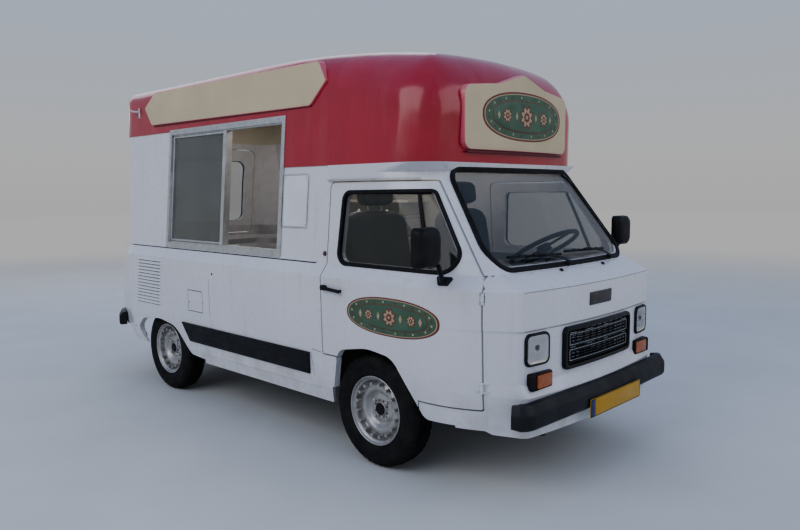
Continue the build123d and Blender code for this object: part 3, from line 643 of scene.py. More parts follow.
def roof_shell():
    cols = []
    for s in (-1, 1):
        half = [(-1.42, math.pi / 2 + math.pi / 2 * (1 - i / 20)) for i in range(20)]
        half += [(-1.42 + (0.285 + 1.42) * i / 34, math.pi / 2) for i in range(35)]
        half += [(0.285 + (1.0 - 0.285) * i / 16, math.pi / 2) for i in range(1, 17)]
        half += [(1.0, math.pi / 2 * (1 - i / 34)) for i in range(1, 35)]
        cols.append([(x, s * a) for x, a in half])
    order = cols[0] + list(reversed(cols[1]))
    lower_z = [1.442 + (1.705 - 1.442) * j / 8 for j in range(8)]
    rows_t = [math.pi / 2 * (j / 60) for j in range(61)]
    verts, faces, idx = [], [], {}
    b = Build()
    for layer, inset in enumerate((0.0, 0.028)):
        for c, (x0, a) in enumerate(order):
            h = Vector((math.cos(a), math.sin(a), 0))
            for j, z in enumerate(lower_z):
                if x0 >= 0.2849:
                    idx[layer, c, j] = len(verts)
                    verts.append(roof_hit(Vector((x0, 0, z)), h, inset))
            for j, t in enumerate(rows_t):
                d = h * math.cos(t) + Vector((0, 0, math.sin(t)))
                idx[layer, c, j + 8] = len(verts)
                verts.append(roof_hit(Vector((x0, 0, 1.705)), d, inset))
    n = len(order)
    nj = 8 + len(rows_t)
    edges = {}
    for c in range(n):
        c2 = (c + 1) % n
        for j in range(nj - 1):
            ks = [(c, j), (c2, j), (c2, j + 1), (c, j + 1)]
            if any((0, *k) not in idx for k in ks):
                continue
            faces.append(tuple(idx[(0, *k)] for k in ks))
            faces.append(tuple(idx[(1, *k)] for k in reversed(ks)))
            for p, q in zip(ks, ks[1:] + ks[:1]):
                edges[(p, q)] = edges.get((p, q), 0) + 1
    for (p, q) in list(edges):
        if (q, p) not in edges and not (p[1] == nj - 1 and q[1] == nj - 1):
            faces.append((idx[(0, *q)], idx[(0, *p)], idx[(1, *p)], idx[(1, *q)]))
    o = mesh("roof_shell", verts, faces, gel, "body", True, 38)
    o.data.materials.append(lining)
    for p in o.data.polygons:
        if roof_depth(*p.center) < -0.020:
            p.material_index = 1
    return o


roof = roof_shell()
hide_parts("high_roof")
ROOF_TREE = BVHTree.FromPolygons([v.co.copy() for v in roof.data.vertices], [tuple(p.vertices) for p in roof.data.polygons])

# -------------------------------------------------------------- window seals
WINDSCREEN = [(-0.562, 0.984, 0.085), (0.562, 0.984, 0.085), (0.488, 1.396, 0.062), (-0.488, 1.396, 0.062)]
DOOR_WINDOW = [(0.772, 0.973, 0.045), (1.516, 0.973, 0.055), (1.292, 1.304, 0.025), (0.797, 1.301, 0.035)]
TAIL_WINDOW = [(-0.400, 1.085, 0.060), (0.400, 1.085, 0.060), (0.400, 1.565, 0.070), (-0.400, 1.565, 0.070)]
SEAL = [(-0.013, 0.0005), (-0.0125, 0.004), (-0.009, 0.0065), (-0.003, 0.007), (0.001, 0.0052), (0.004, 0.006), (0.009, 0.0052),
        (0.0125, 0.001), (0.0125, -0.012), (0.001, -0.012), (0.001, 0.0)]


def seal(name, corners, hit, out, body, width=1.0, step=0.02):
    b = Build()
    path, norms = [], []
    ring = dense(rounded(grow(corners, out), 8), step)
    for a, c in ring:
        p, n = hit(a, c)
        path.append(p)
        norms.append(n)
    k = len(norms)
    smooth = [(norms[i - 2] + norms[i - 1] + norms[i] + norms[(i + 1) % k] + norms[(i + 2) % k]).normalized() for i in range(k)]
    t = path[1] - path[0]
    across = smooth[0].cross(t)
    pc = sum(path, Vector()) / k
    sgn = 1 if across.dot(pc - path[0]) > 0 else -1
    b.sweep(path, smooth, [(sgn * p * width, q) for p, q in SEAL], True)
    return b.make(name, rubber, body, "black_plastic", 60)


seal("windscreen_seal", WINDSCREEN, on_front, 0.012, "body", 1.05)
for s, nm in ((-1, "right"), (1, "left")):
    seal(f"door_window_seal_{nm}", DOOR_WINDOW, lambda a, c, s=s: on_side(a, c, s), 0.008, f"door_{nm}", 0.75)
seal("tailgate_window_seal", TAIL_WINDOW, on_rear, 0.011, "tailgate")

for s, nm in ((-1, "right"), (1, "left")):
    gt = tree(f"door_glass_{nm}")
    b = Build()
    path, norms = [], []
    for i in range(13):
        t = i / 12
        p, n = cast(gt, (1.235 + 0.118 * t, s * 1.2, 1.296 - 0.316 * t), (0, -s, 0))
        path.append(p)
        norms.append(n)
    b.sweep(path, norms, [(-0.009, -0.002), (-0.009, 0.005), (-0.006, 0.008), (0.006, 0.008), (0.009, 0.005), (0.009, -0.002)], False)
    b.make(f"quarter_light_bar_{nm}", rubber, f"door_{nm}", "black_plastic")

# --------------------------------------------------------------------- wheels
TYRE_PROFILE = [(0.160, 0.050), (0.1625, 0.056), (0.168, 0.0600), (0.171, 0.0590), (0.175, 0.0625), (0.190, 0.0655), (0.205, 0.0672),
                (0.207, 0.0660), (0.211, 0.0660), (0.213, 0.0675), (0.228, 0.0678), (0.240, 0.0664), (0.2415, 0.0652), (0.2445, 0.0650),
                (0.246, 0.0655), (0.256, 0.0610), (0.2635, 0.0555), (0.2690, 0.0500), (0.2712, 0.0450), (0.2726, 0.0330), (0.2655, 0.0325),
                (0.2655, 0.0275), (0.2732, 0.0270), (0.2737, 0.0095), (0.2660, 0.0090), (0.2660, 0.0040), (0.2738, 0.0035)]
WHEELS = {"front_right": (1.005, -0.632, -1), "front_left": (1.005, 0.632, 1), "rear_right": (-0.995, -0.622, -1), "rear_left": (-0.995, 0.622, 1)}


def tyre_mesh(n=144):
    prof = TYRE_PROFILE + [(r, -w) for r, w in reversed(TYRE_PROFILE)] + [(0.158, -0.045), (0.158, 0.045)]
    vs, fs, k = [], [], len(prof)
    for i in range(n):
        a = 2 * math.pi * i / n
        for r, w in prof:
            cut = 0.0
            if 0.262 < r and abs(w) > 0.0335 and i % 3 == 0:
                cut = 0.006
            elif 0.2727 < r and 0.0095 < abs(w) < 0.0275 and i % 3 == 1:
                cut = 0.004
            twist = 0.010 * (abs(w) / 0.05) if r > 0.262 else 0.0
            vs.append(Vector(((r - cut) * math.cos(a + twist), w, (r - cut) * math.sin(a + twist))))
    for i in range(n):
        j = (i + 1) % n
        for m_ in range(k):
            l_ = (m_ + 1) % k
            fs.append((i * k + m_, i * k + l_, j * k + l_, j * k + m_))
    return vs, fs


RIM_OUT = [(0.1590, 0.0500), (0.1640, 0.0550), (0.1668, 0.0590), (0.1670, 0.0618), (0.1650, 0.0636), (0.1622, 0.0634), (0.1600, 0.0610),
           (0.1588, 0.0560), (0.1560, 0.0520), (0.1500, 0.0500), (0.1465, 0.0470), (0.1450, 0.0400), (0.1435, 0.0270), (0.1410, 0.0200),
           (0.1385, 0.0180), (0.1340, 0.0205), (0.1290, 0.0250), (0.1200, 0.0315), (0.1100, 0.0355), (0.1030, 0.0362), (0.0960, 0.0345),
           (0.0900, 0.0290), (0.0830, 0.0200), (0.0760, 0.0130), (0.0700, 0.0105), (0.0640, 0.0108), (0.0560, 0.0140), (0.0480, 0.0150),
           (0.0400, 0.0145), (0.0360, 0.0120), (0.0340, 0.0125), (0.0330, 0.0200), (0.0300, 0.0225), (0.0150, 0.0235), (0.0, 0.0237)]


def rim_mesh():
    bm = bmesh.new()
    n = 96
    front = RIM_OUT
    back = [(max(r, 0.0), w - 0.004) for r, w in reversed(RIM_OUT[14:])] + [(0.1420, 0.014), (0.1440, -0.040), (0.1590, -0.0520), (0.1660, -0.0580), (0.1670, -0.0610),
            (0.1640, -0.0600), (0.1570, -0.0530)]
    prof = front + back
    rows, made = [], []
    for r, w in prof:
        if r < 1e-6:
            v = bm.verts.new((0, w, 0))
            rows.append([v] * n)
        else:
            rows.append([bm.verts.new((r * math.cos(2 * math.pi * i / n), w, r * math.sin(2 * math.pi * i / n))) for i in range(n)])
    rows.append(rows[0])
    for p, q in zip(rows, rows[1:]):
        if p[0] is p[1] and q[0] is q[1]:
            continue
        for i in range(n):
            j = (i + 1) % n
            f = []
            for t in (p[i], p[j], q[j], q[i]):
                if t not in f:
                    f.append(t)
            bm.faces.new(f)
    bmesh.ops.recalc_face_normals(bm, faces=bm.faces)
    me = bpy.data.meshes.new("rim_blank")
    bm.to_mesh(me)
    bm.free()
    o = bpy.data.objects.new("rim_blank", me)
    bpy.context.scene.collection.objects.link(o)
    cb = Build()
    for k in range(16):
        a = 2 * math.pi * (k + 0.5) / 16
        cb.lathe([(0, -0.03), (0.0082, -0.03), (0.0082, 0.06), (0, 0.06)], (0.1275 * math.cos(a), 0, 0.1275 * math.sin(a)), (0, 1, 0), 18, (1, 0, 0))
    cme = bpy.data.meshes.new("rim_cut")
    cme.from_pydata([tuple(v) for v in cb.v], [], cb.f)
    bmc = bmesh.new()
    bmc.from_mesh(cme)
    bmesh.ops.recalc_face_normals(bmc, faces=bmc.faces)
    bmc.to_mesh(cme)
    bmc.free()
    co = bpy.data.objects.new("rim_cut", cme)
    bpy.context.scene.collection.objects.link(co)
    md = o.modifiers.new("cut", "BOOLEAN")
    md.operation = "DIFFERENCE"
    md.solver = "EXACT"
    md.object = co
    deps = bpy.context.evaluated_depsgraph_get()
    done = bpy.data.meshes.new_from_object(o.evaluated_get(deps))
    out = ([v.co.copy() for v in done.vertices], [tuple(p.vertices) for p in done.polygons])
    bpy.data.objects.remove(o)
    bpy.data.objects.remove(co)
    return out


tyre_v, tyre_f = tyre_mesh()
rim_v, rim_f = rim_mesh()
for nm, (x, y, s) in WHEELS.items():
    def put(v):
        return Vector((x + v.x, y + s * v.y, 0.274 + v.z))
    t = mesh(f"tyre_{nm}_tread", [put(v) for v in tyre_v], tyre_f, tyre_m, f"wheel_{nm}", True, 35)
    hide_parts(f"tyre_{nm}")
    r = mesh(f"rim_{nm}_steel", [put(v) for v in rim_v], rim_f, silver, f"wheel_{nm}", True, 45)
    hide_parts(f"rim_{nm}")
    b = Build()
    for k in range(4):
        a = math.pi / 4 + k * math.pi / 2
        c = (x + 0.055 * math.cos(a), y + s * 0.0125, 0.274 + 0.055 * math.sin(a))
        b.lathe([(0, -0.002), (0.0125, -0.002), (0.0125, 0.002), (0.0105, 0.0045), (0.0100, 0.0130), (0.0085, 0.0150), (0, 0.0155)], c, (0, s, 0), 6, (1, 0, 0.2))
    b.make(f"wheel_bolts_{nm}", chrome, f"wheel_{nm}", "frame_metal", 30)
    b = Build()
    b.lathe([(0, 0.019), (0.0300, 0.019), (0.0300, 0.0245), (0.0285, 0.0262), (0.0200, 0.0270), (0.0185, 0.0255), (0.0, 0.0250)], (x, y, 0.274), (0, s, 0), 32, (1, 0, 0))
    for k in range(8):
        a = math.pi / 8 + k * math.pi / 4
        b.lathe([(0, 0.014), (0.0042, 0.014), (0.0042, 0.0163), (0, 0.0164)], (x + 0.0425 * math.cos(a), y, 0.274 + 0.0425 * math.sin(a)), (0, s, 0), 12, (1, 0, 0))
    b.make(f"wheel_centre_{nm}", plastic, f"wheel_{nm}", "black_plastic", 30)
    b = Build()
    b.lathe([(0.1160, 0.0100), (0.1160, 0.0060), (0.1400, 0.0060), (0.1400, 0.0085), (0.1330, 0.0120), (0.1220, 0.0150), (0.1160, 0.0100)], (x, y, 0.274), (0, s, 0), 64, (1, 0, 0))
    b.make(f"wheel_inner_band_{nm}", chassis_m, f"wheel_{nm}", "chassis_black", 40)

# --------------------------------------------------------------- nose fittings


def tangent_frame(hit, a, b, da=0.05):
    """Place on a fitting's own flat plane, laid on the surface at a, b."""
    p, _ = hit(a, b)
    pa, _ = hit(a + da, b)
    pb, _ = hit(a - da, b)
    pc, _ = hit(a, b + da)
    pd, _ = hit(a, b - da)
    ea = (pa - pb).normalized()
    eb = (pc - pd).normalized()
    n = ea.cross(eb).normalized()
    if n.dot(Vector((1 if hit is on_front else -1, 0, 0))) < 0:
        n = -n
    eb = (eb - ea * eb.dot(ea)).normalized()
    return p, ea, eb, n


def rows_mesh(b, rows):
    """Joins closed rings of points, the first and last filled."""
    k = len(rows[0])
    vs = [p for r in rows for p in r]
    fs = [(i * k + j, i * k + (j + 1) % k, (i + 1) * k + (j + 1) % k, (i + 1) * k + j) for i in range(len(rows) - 1) for j in range(k)]
    m0, m1 = len(vs), len(vs) + 1
    vs += [sum(rows[0], Vector()) / k, sum(rows[-1], Vector()) / k]
    fs += [((j + 1) % k, j, m0) for j in range(k)] + [((len(rows) - 1) * k + j, (len(rows) - 1) * k + (j + 1) % k, m1) for j in range(k)]
    return b.add(vs, fs)


def ring_pts(frm, w, h, r, out, seg=8):
    p, ea, eb, n = frm
    return [p + ea * a + eb * c + n * out for a, c in rounded([(-w, -h, r), (w, -h, r), (w, h, r), (-w, h, r)], seg)]


first_lamp = None
for s, nm in ((-1, "right"), (1, "left")):
    frm = tangent_frame(on_front, s * 0.474, 0.651)
    b = Build()
    spec = [(0.077, 0.070, 0.030, -0.010), (0.077, 0.070, 0.030, 0.006), (0.0750, 0.0680, 0.029, 0.0105), (0.0705, 0.0635, 0.026, 0.0120),
            (0.0680, 0.0610, 0.025, 0.0105), (0.0668, 0.0598, 0.024, 0.004)]
    rows_mesh(b, [ring_pts(frm, *q) for q in spec])
    o = b.make(f"headlamp_rim_{nm}", plastic, "body", "black_plastic", 35)
    if first_lamp is None:
        first_lamp = o
    b = Build()
    spec = [(0.0665, 0.0595, 0.024, 0.0095), (0.0640, 0.0570, 0.024, 0.0088), (0.0600, 0.0530, 0.026, 0.0068), (0.0480, 0.0430, 0.028, 0.0052), (0.0300, 0.0280, 0.026, 0.0046), (0.0140, 0.0140, 0.0135, 0.0044)]
    rows_mesh(b, [ring_pts(frm, 0.0665, 0.0595, 0.024, 0.003)] + [ring_pts(frm, *q) for q in spec])
    b.make(f"headlamp_bowl_{nm}", reflector, "body", "lamp_glass", 50)
    b = Build()
    p, ea, eb, n = frm
    b.lathe([(0, 0.0040), (0.0130, 0.0040), (0.0130, 0.0062), (0.0110, 0.0072), (0.0090, 0.0072), (0.0070, 0.0092), (0.004, 0.0100), (0, 0.0101)], p + eb * 0.006, n, 28, tuple(eb))
    b.make(f"headlamp_bulb_{nm}", plastic, "body", "black_plastic", 35)
    b = Build()
    spec = [(0.0668, 0.0598, 0.024, 0.0100), (0.0660, 0.0590, 0.024, 0.0112), (0.0560, 0.0500, 0.026, 0.0132), (0.0350, 0.0310, 0.026, 0.0142), (0.0120, 0.0110, 0.0105, 0.0145)]
    rows_mesh(b, [ring_pts(frm, 0.0668, 0.0598, 0.024, 0.0104)] + [ring_pts(frm, *q) for q in spec])
    for k in range(-5, 6):
        b.box(p + ea * (0.0105 * k) + n * 0.0122, ea * 0.0007, eb * 0.045, n * 0.0012)
    b.make(f"headlamp_lens_{nm}", lamp_glass, "body", "lamp_glass", 50)
    # direction indicator
    p, ea, eb, n = tangent_frame(on_front, s * 0.459, 0.516)
    ctr = Vector((1.790 - 0.0245, s * 0.459, 0.516))
    fx = Vector((1, 0, 0))
    fy = Vector((0, 1, 0))
    fz = Vector((0, 0, 1))
    frm2 = (Vector((p.x, s * 0.459, 0.516)), fy, fz, fx)
    reach = 1.790 - p.x
    b = Build()
    spec = [(0.0740, 0.0360, 0.008, -0.012), (0.0740, 0.0360, 0.008, reach - 0.012), (0.0715, 0.0335, 0.008, reach - 0.005), (0.0690, 0.0310, 0.007, reach - 0.0045), (0.0680, 0.0300, 0.007, reach - 0.008)]
    rows_mesh(b, [ring_pts(frm2, *q) for q in spec])
    b.make(f"indicator_housing_{nm}", plastic, "body", "black_plastic", 30)
    b = Build()
    lens_c = frm2[0] + fy * (-s * 0.012)
    frm3 = (lens_c, fy, fz, fx)
    spec = [(0.0550, 0.0285, 0.007, reach - 0.010), (0.0550, 0.0285, 0.007, reach - 0.0035), (0.0530, 0.0268, 0.007, reach - 0.0010), (0.0440, 0.0200, 0.007, reach - 0.0002)]
    rows_mesh(b, [ring_pts(frm3, *q) for q in spec])
    b.make(f"indicator_lens_{nm}", orange, "body", "lamp_red", 30)
    b = Build()
    for k in range(-4, 5):
        b.box(lens_c + fy * 0.0105 * k + fx * (reach - 0.0009), fy * 0.0008, fz * 0.0235, fx * 0.0008, 0.0004)
    for e in (-1, 1):
        b.lathe([(0, 0), (0.0035, 0), (0.0035, 0.0012), (0, 0.0016)], lens_c + fy * e * 0.049 + fx * (reach - 0.0022), fx, 12)
    b.make(f"indicator_ribs_{nm}", orange, "body", "lamp_red", 30)
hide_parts("front_lamps")

# grille: thick rounded frame, recessed slats, thin bright outlines and short bars
GX = [on_front(y, 0.625)[0].x for y in (0.0, 0.29)]
gbow = GX[0] - GX[1]


def grille_at(y, z, out):
    """Point ahead of the grille's back, which follows the bow of the nose."""
    return Vector((GX[0] - gbow * (y / 0.29) ** 2 + out, y, z))


def grille_ring(w, h, r, out):
    return [grille_at(a, 0.625 + c, out) for a, c in dense(rounded([(-w, -h, r), (w, -h, r), (w, h, r), (-w, h, r)], 6), 0.03)]


GOUT = 1.797 - GX[0] if 1.797 - GX[0] > 0.006 else 0.012
GTOP = min(0.020, 1.860 - GX[0])
b = Build()
rings = []
for w, h, r, o_ in ((0.302, 0.095, 0.028, -0.012), (0.302, 0.095, 0.028, GTOP - 0.006), (0.2985, 0.0915, 0.026, GTOP - 0.001), (0.290, 0.083, 0.022, GTOP), (0.284, 0.077, 0.018, GTOP - 0.003), (0.281, 0.074, 0.016, 0.003)):
    rings.append([grille_at(a, 0.625 + c, o_) for a, c in rounded([(-w, -h, r), (w, -h, r), (w, h, r), (-w, h, r)], 6)])
k = len(rings[0])
dn = []
for r in rings:
    q = []
    for i in range(k):
        a_, b_ = r[i], r[(i + 1) % k]
        m_ = max(1, int((rings[0][(i + 1) % k] - rings[0][i]).length / 0.03))
        for t in range(m_):
            pt = a_ + (b_ - a_) * t / m_
            off = (r[0].x - (GX[0] - gbow * (r[0].y / 0.29) ** 2))
            pt.x = GX[0] - gbow * (pt.y / 0.29) ** 2 + off
            q.append(pt)
    dn.append(q)
kk = len(dn[0])
vs = [p for r in dn for p in r]
fs = [(i * kk + j, i * kk + (j + 1) % kk, (i + 1) * kk + (j + 1) % kk, (i + 1) * kk + j) for i in range(len(dn) - 1) for j in range(kk)]
fs.append(tuple(range(kk)))
fs.append(tuple((len(dn) - 1) * kk + j for j in range(kk)))
b.add(vs, fs)
g = b.make("grille_frame", grille_plastic, "body", "black_plastic", 35)
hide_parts("grille")
b = Build()
ys = [-0.280 + 0.56 * i / 24 for i in range(25)]
for z in [0.560 + 0.0118 * i for i in range(12)]:
    b.sweep([grille_at(y, z, 0.0035) for y in ys], [Vector((1, 0, 0))] * 25, [(-0.0036, -0.003), (-0.0026, 0.0075), (0.0012, 0.0085), (0.0036, -0.002)], False)
for y in [-0.252 + 0.056 * i for i in range(10)]:
    b.box(grille_at(y, 0.625, 0.005), (0, 0.0022, 0), (0, 0, 0.072), (0.004, 0, 0))
b.make("grille_slats", grille_plastic, "body", "black_plastic", 35)
b = Build()


def bright_bar(y0, y1, z, t=0.0014):
    m_ = max(2, int(abs(y1 - y0) / 0.03))
    b.sweep([grille_at(y0 + (y1 - y0) * i / m_, z, 0.0125) for i in range(m_ + 1)], [Vector((1, 0, 0))] * (m_ + 1), [(-t, -0.004), (-t, 0.0), (0, 0.0009), (t, 0.0), (t, -0.004)], False)


def bright_post(y, z0, z1):
    b.box(grille_at(y, (z0 + z1) / 2, 0.0108), (0, 0.0014, 0), (0, 0, (z1 - z0) / 2), (0.0022, 0, 0))


for z0, z1 in ((0.567, 0.614), (0.636, 0.683)):
    bright_bar(-0.262, 0.262, z0)
    bright_bar(-0.262, 0.262, z1)
    bright_post(-0.262, z0, z1)
    bright_post(0.262, z0, z1)
    for z in (z0 + 0.015, z1 - 0.015):
        for y0 in (-0.245, -0.212, 0.130, 0.160, 0.190, 0.220):
            bright_bar(y0, y0 + 0.018, z, 0.0010)
for y0 in (-0.262, -0.130, 0.020, 0.205):
    bright_bar(y0, y0 + 0.050, 0.6900, 0.0012)
    bright_bar(y0 + 0.004, y0 + 0.046, 0.6252, 0.0010)
b.make("grille_bright_bars", chrome, "body", "frame_metal", 35)

# blank badge plate
b = Build()


def nose_place(y0, z0):
    def place(a, c, out):
        p, n = on_front(y0 + a, z0 + c)
        return p + n * out
    return place


pts = dense(rounded([(-0.098, -0.028, 0.004), (0.098, -0.028, 0.004), (0.104, 0.030, 0.004), (-0.092, 0.030, 0.004)], 3), 0.02)
b.plate(pts, nose_place(-0.002, 0.822), 0.005)
b.make("badge_plate_blank", badge_m, "body", "black_plastic", 35)

# ------------------------------------------------------------------- bumpers


def bumper(name, node, corners, x_end, sgn, z0, z1):
    """Swept bumper face with rounded lips and a sloped upper band."""
    line = [p for p in dense(rounded(corners, 16), 0.03) if (p[0] - x_end) * sgn > -1e-6]
    line.sort(key=lambda p: math.atan2(p[1], (p[0] - (x_end - sgn * 0.4)) * sgn))
    path = [Vector((p[0], p[1], 0)) for p in line]
    inner = []
    for i, p in enumerate(path):
        a_, c_ = path[max(i - 1, 0)], path[min(i + 1, len(path) - 1)]
        t = (c_ - a_).normalized()
        n = Vector((t.y, -t.x, 0))
        if n.dot(Vector((sgn, 0, 0)) + Vector((0, p.y, 0)) * 0.6) < 0:
            n = -n
        inner.append(n)
    sec = [(-0.052, z1 - 0.004), (-0.046, z1), (-0.030, z1), (-0.022, z1 - 0.003), (-0.0035, z1 - 0.034), (-0.0008, z1 - 0.039), (0.0, z1 - 0.045), (0.0, z0 + 0.020),
           (-0.0015, z0 + 0.012), (-0.009, z0 + 0.003), (-0.016, z0), (-0.050, z0 + 0.002), (-0.054, z0 + 0.006)]
    vs, fs, k = [], [], len(sec)
    m_ = len(path)
    for i, (p, n) in enumerate(zip(path, inner)):
        for d, z in sec:
            e = min(i, m_ - 1 - i)
            shrink = 1.0 if e > 2 else (0.86, 0.95, 0.985)[e]
            zz = (z0 + z1) / 2 + (z - (z0 + z1) / 2) * shrink
            vs.append(Vector((p.x + n.x * d, p.y + n.y * d, zz)))
    for i in range(m_ - 1):
        for j in range(k):
            fs.append((i * k + j, i * k + (j + 1) % k, (i + 1) * k + (j + 1) % k, (i + 1) * k + j))
    fs.append(tuple(range(k)))
    fs.append(tuple((m_ - 1) * k + j for j in range(k)))
    o = mesh(name, vs, fs, bumper_plastic, "body", True, 32)
    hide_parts(node)
    return o


bumper("front_bumper_moulding", "front_bumper", [(1.8600, 0, 9.0), (1.8415, -0.640, 0.085), (1.560, -0.800, 0), (1.560, 0.800, 0), (1.8415, 0.640, 0.085)], 1.752, 1, 0.344, 0.452)
bumper("rear_bumper_moulding", "rear_bumper", [(-1.8649, 0, 9.0), (-1.860, 0.625, 0.100), (-1.640, 0.724, 0.060), (-1.300, 0.790, 0), (-1.300, -0.790, 0), (-1.640, -0.724, 0.060), (-1.860, -0.625, 0.100)], -1.655, -1, 0.345, 0.452)
b = Build()
for s in (-1, 1):
    for x0, zz in ((1.800, 0.400), (-1.800, 0.400)):
        b.box((x0, s * 0.30, zz), (0.045, 0, 0), (0, 0.02, 0), (0, 0, 0.018), 0.003)
b.make("bumper_brackets", chassis_m, "body", "chassis_black", 35)

# -------------------------------------------------------------- number plates
b = Build()
front_c = Vector((1.8606, 0.045, 0.3485))
b.plate(dense(rounded([(-0.240, -0.0425, 0.008), (0.240, -0.0425, 0.008), (0.240, 0.0425, 0.008), (-0.240, 0.0425, 0.008)], 5), 0.03),
        lambda a, c, o_: front_c + Vector((o_, a, c)), 0.0028, 0, 0.0008)
rear_p = on_rear(0, 0.486)[0]
b.plate(dense(rounded([(-0.170, -0.028, 0.006), (0.170, -0.028, 0.006), (0.170, 0.028, 0.006), (-0.170, 0.028, 0.006)], 5), 0.03),
        lambda a, c, o_: Vector((min(rear_p.x, -1.7925) - o_, a, 0.486 + c)), 0.0028, 0, 0.0008)
o = b.make("number_plates_blank", yellow, "body", "plate_yellow", 35)
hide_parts("number_plates")
b = Build()
b.plate([(-0.237, -0.0395), (-0.198, -0.0395), (-0.198, 0.0395), (-0.237, 0.0395)], lambda a, c, o_: front_c + Vector((0.0026 + o_, a, c)), 0.0006, 0, 0.0002)
b.plate([(0.143, -0.0255), (0.167, -0.0255), (0.167, 0.0255), (0.143, 0.0255)], lambda a, c, o_: Vector((min(rear_p.x, -1.7925) - 0.0026 - o_, a, 0.486 + c)), 0.0006, 0, 0.0002)
b.make("number_plate_bands", blue, "body", "plate_yellow", 35)
b = Build()
for cx, cz, w, h in ((0.0, 0.0, 0.2375, 0.0400),):
    ring = dense(rounded([(-w, -h, 0.006), (w, -h, 0.006), (w, h, 0.006), (-w, h, 0.006)], 4), 0.03)
    b.sweep([front_c + Vector((0.0026, a, c)) for a, c in ring], [Vector((1, 0, 0))] * len(ring), [(-0.0012, -0.001), (-0.0012, 0.0006), (0.0012, 0.0006), (0.0012, -0.001)], True)
b.make("number_plate_border", plastic, "body", "black_plastic", 35)

# ---------------------------------------------------------------- sign boards


def on_roof_front(y, z):
    return cast(ROOF_TREE, (2.2, y, z), (-1, 0, 0))


def on_roof_side(x, z, s):
    return cast(ROOF_TREE, (x, s * 1.2, z), (0, -s, 0))


SIGN_FRONT = [(-0.430, 1.500, 0.045), (0.430, 1.500, 0.045), (0.430, 1.790, 0.045), (0.190, 1.815, 0.120), (0.0, 1.872, 0.030), (-0.190, 1.815, 0.120), (-0.430, 1.790, 0.045)]
SIGN_SIDE = [(-1.280, 1.884, 0.012), (-1.150, 1.976, 0.040), (0.565, 1.966, 0.040), (0.628, 1.860, 0.012), (0.510, 1.746, 0.040), (-1.172, 1.762, 0.040)]


def board_rows(outline, place, rows, fill=8):
    """Board whose edge follows rows of (inset, out), its face filled by shrinking rings."""
    area_s = 1 if area(outline) > 0 else -1
    n = len(outline)
    ca, cb = sum(p[0] for p in outline) / n, sum(p[1] for p in outline) / n

    def inset(k):
        out = []
        for i in range(n):
            pa, pb = outline[i - 1]
            na, nb = outline[(i + 1) % n]
            l_ = math.hypot(na - pa, nb - pb) or 1
            out.append((outline[i][0] - area_s * (nb - pb) / l_ * k, outline[i][1] + area_s * (na - pa) / l_ * k))
        return out

    made = [[place(a, b, o_) for a, b in inset(k)] for k, o_ in rows]
    last, o_ = inset(rows[-1][0]), rows[-1][1]
    for j in range(1, fill):
        t = 1 - j / fill
        made.append([place(ca + (a - ca) * t, cb + (b - cb) * t, o_) for a, b in last])
    vs = [p for r in made for p in r]
    fs = [(i * n + j, i * n + (j + 1) % n, (i + 1) * n + (j + 1) % n, (i + 1) * n + j) for i in range(len(made) - 1) for j in range(n)]
    vs += [place(ca, cb, rows[0][1]), place(ca, cb, o_)]
    fs += [((j + 1) % n, j, len(vs) - 2) for j in range(n)] + [((len(made) - 1) * n + j, (len(made) - 1) * n + (j + 1) % n, len(vs) - 1) for j in range(n)]
    return vs, fs


def front_sign_x(y):
    return 1.3495 - y * y / 7.6


def fplace(a, b, o_):
    return Vector((front_sign_x(a) + o_, a, b))


def side_sign(s):
    def place(a, b, o_):
        y = 0.665 - 0.084 * (b - 1.442)
        return Vector((a, s * (y + o_), b))
    return place


front_out = dense(rounded(SIGN_FRONT, 8), 0.03)
side_out = dense(rounded(SIGN_SIDE, 8), 0.05)
EDGE = [(0, -0.030), (0, 0.008), (0.001, 0.0105), (0.003, 0.0115)]
FACE = [(0.0032, 0.009), (0.0032, 0.0119), (0.005, 0.0123)]
b = Build()
b.add(*board_rows(front_out, fplace, EDGE))
for s in (-1, 1):
    b.add(*board_rows(side_out, side_sign(s), EDGE))
# rim and thickness of the boards in the light pink with its painted highlight
o = b.make("sign_boards_edge", rim_highlight_pink, "body", "roof_gloss", 35)
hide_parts("roof_signs")
b = Build()
b.add(*board_rows(front_out, fplace, FACE))
for s in (-1, 1):
    b.add(*board_rows(side_out, side_sign(s), FACE))
b.make("sign_boards_face", cream, "body", "sign_cream", 35)

# painted shadow: a dark red strip under each side board and under the front board stands for the shade below the
# board's lower edge; then the eyelets of a small bracket behind a side board
b = Build()
for s in (-1, 1):
    path = [Vector((x, s * (0.665 - 0.084 * (1.748 - 1.442) + 0.001), 1.748 - 0.0085 * (x - 0.5) / 1.68)) for x in [-1.15 + 1.66 * i / 20 for i in range(21)]]
    b.sweep(path, [Vector((0, s, 0))] * 21, [(-0.006, -0.004), (-0.006, 0.004), (0.0, 0.006), (0.006, 0.004), (0.006, -0.004)], False)
path = [fplace(y, 1.4905, 0.0) for y in [-0.40 + 0.8 * i / 20 for i in range(21)]]
b.sweep(path, [Vector((1, 0, 0))] * 21, [(-0.005, -0.02), (-0.005, 0.003), (0.0, 0.005), (0.005, 0.003), (0.005, -0.02)], False)
b.make("sign_painted_shadow_strips", sign_shadow_red, "body", "roof_gloss", 35)
b = Build()
p, n = on_roof_side(-1.372, 1.860, -1)
b.box(p + n * 0.003, (0.011, 0, 0), (0, 0.003, 0), (0, 0, 0.034), 0.002)
b.tube([p + n * 0.005 + Vector((0, 0, 0.010)), p + n * 0.020 + Vector((-0.015, 0, 0.008)), p + n * 0.030 + Vector((-0.040, 0, 0.010)), p + n * 0.030 + Vector((-0.066, 0, 0.020))], 0.0065, 12)
b.make("roof_bracket", basic("bracket_pale", (0.62, 0.58, 0.58), (0.5, 0.42, 0.42), 0.35, 0.5, 30.0), "body", "frame_metal", 35)


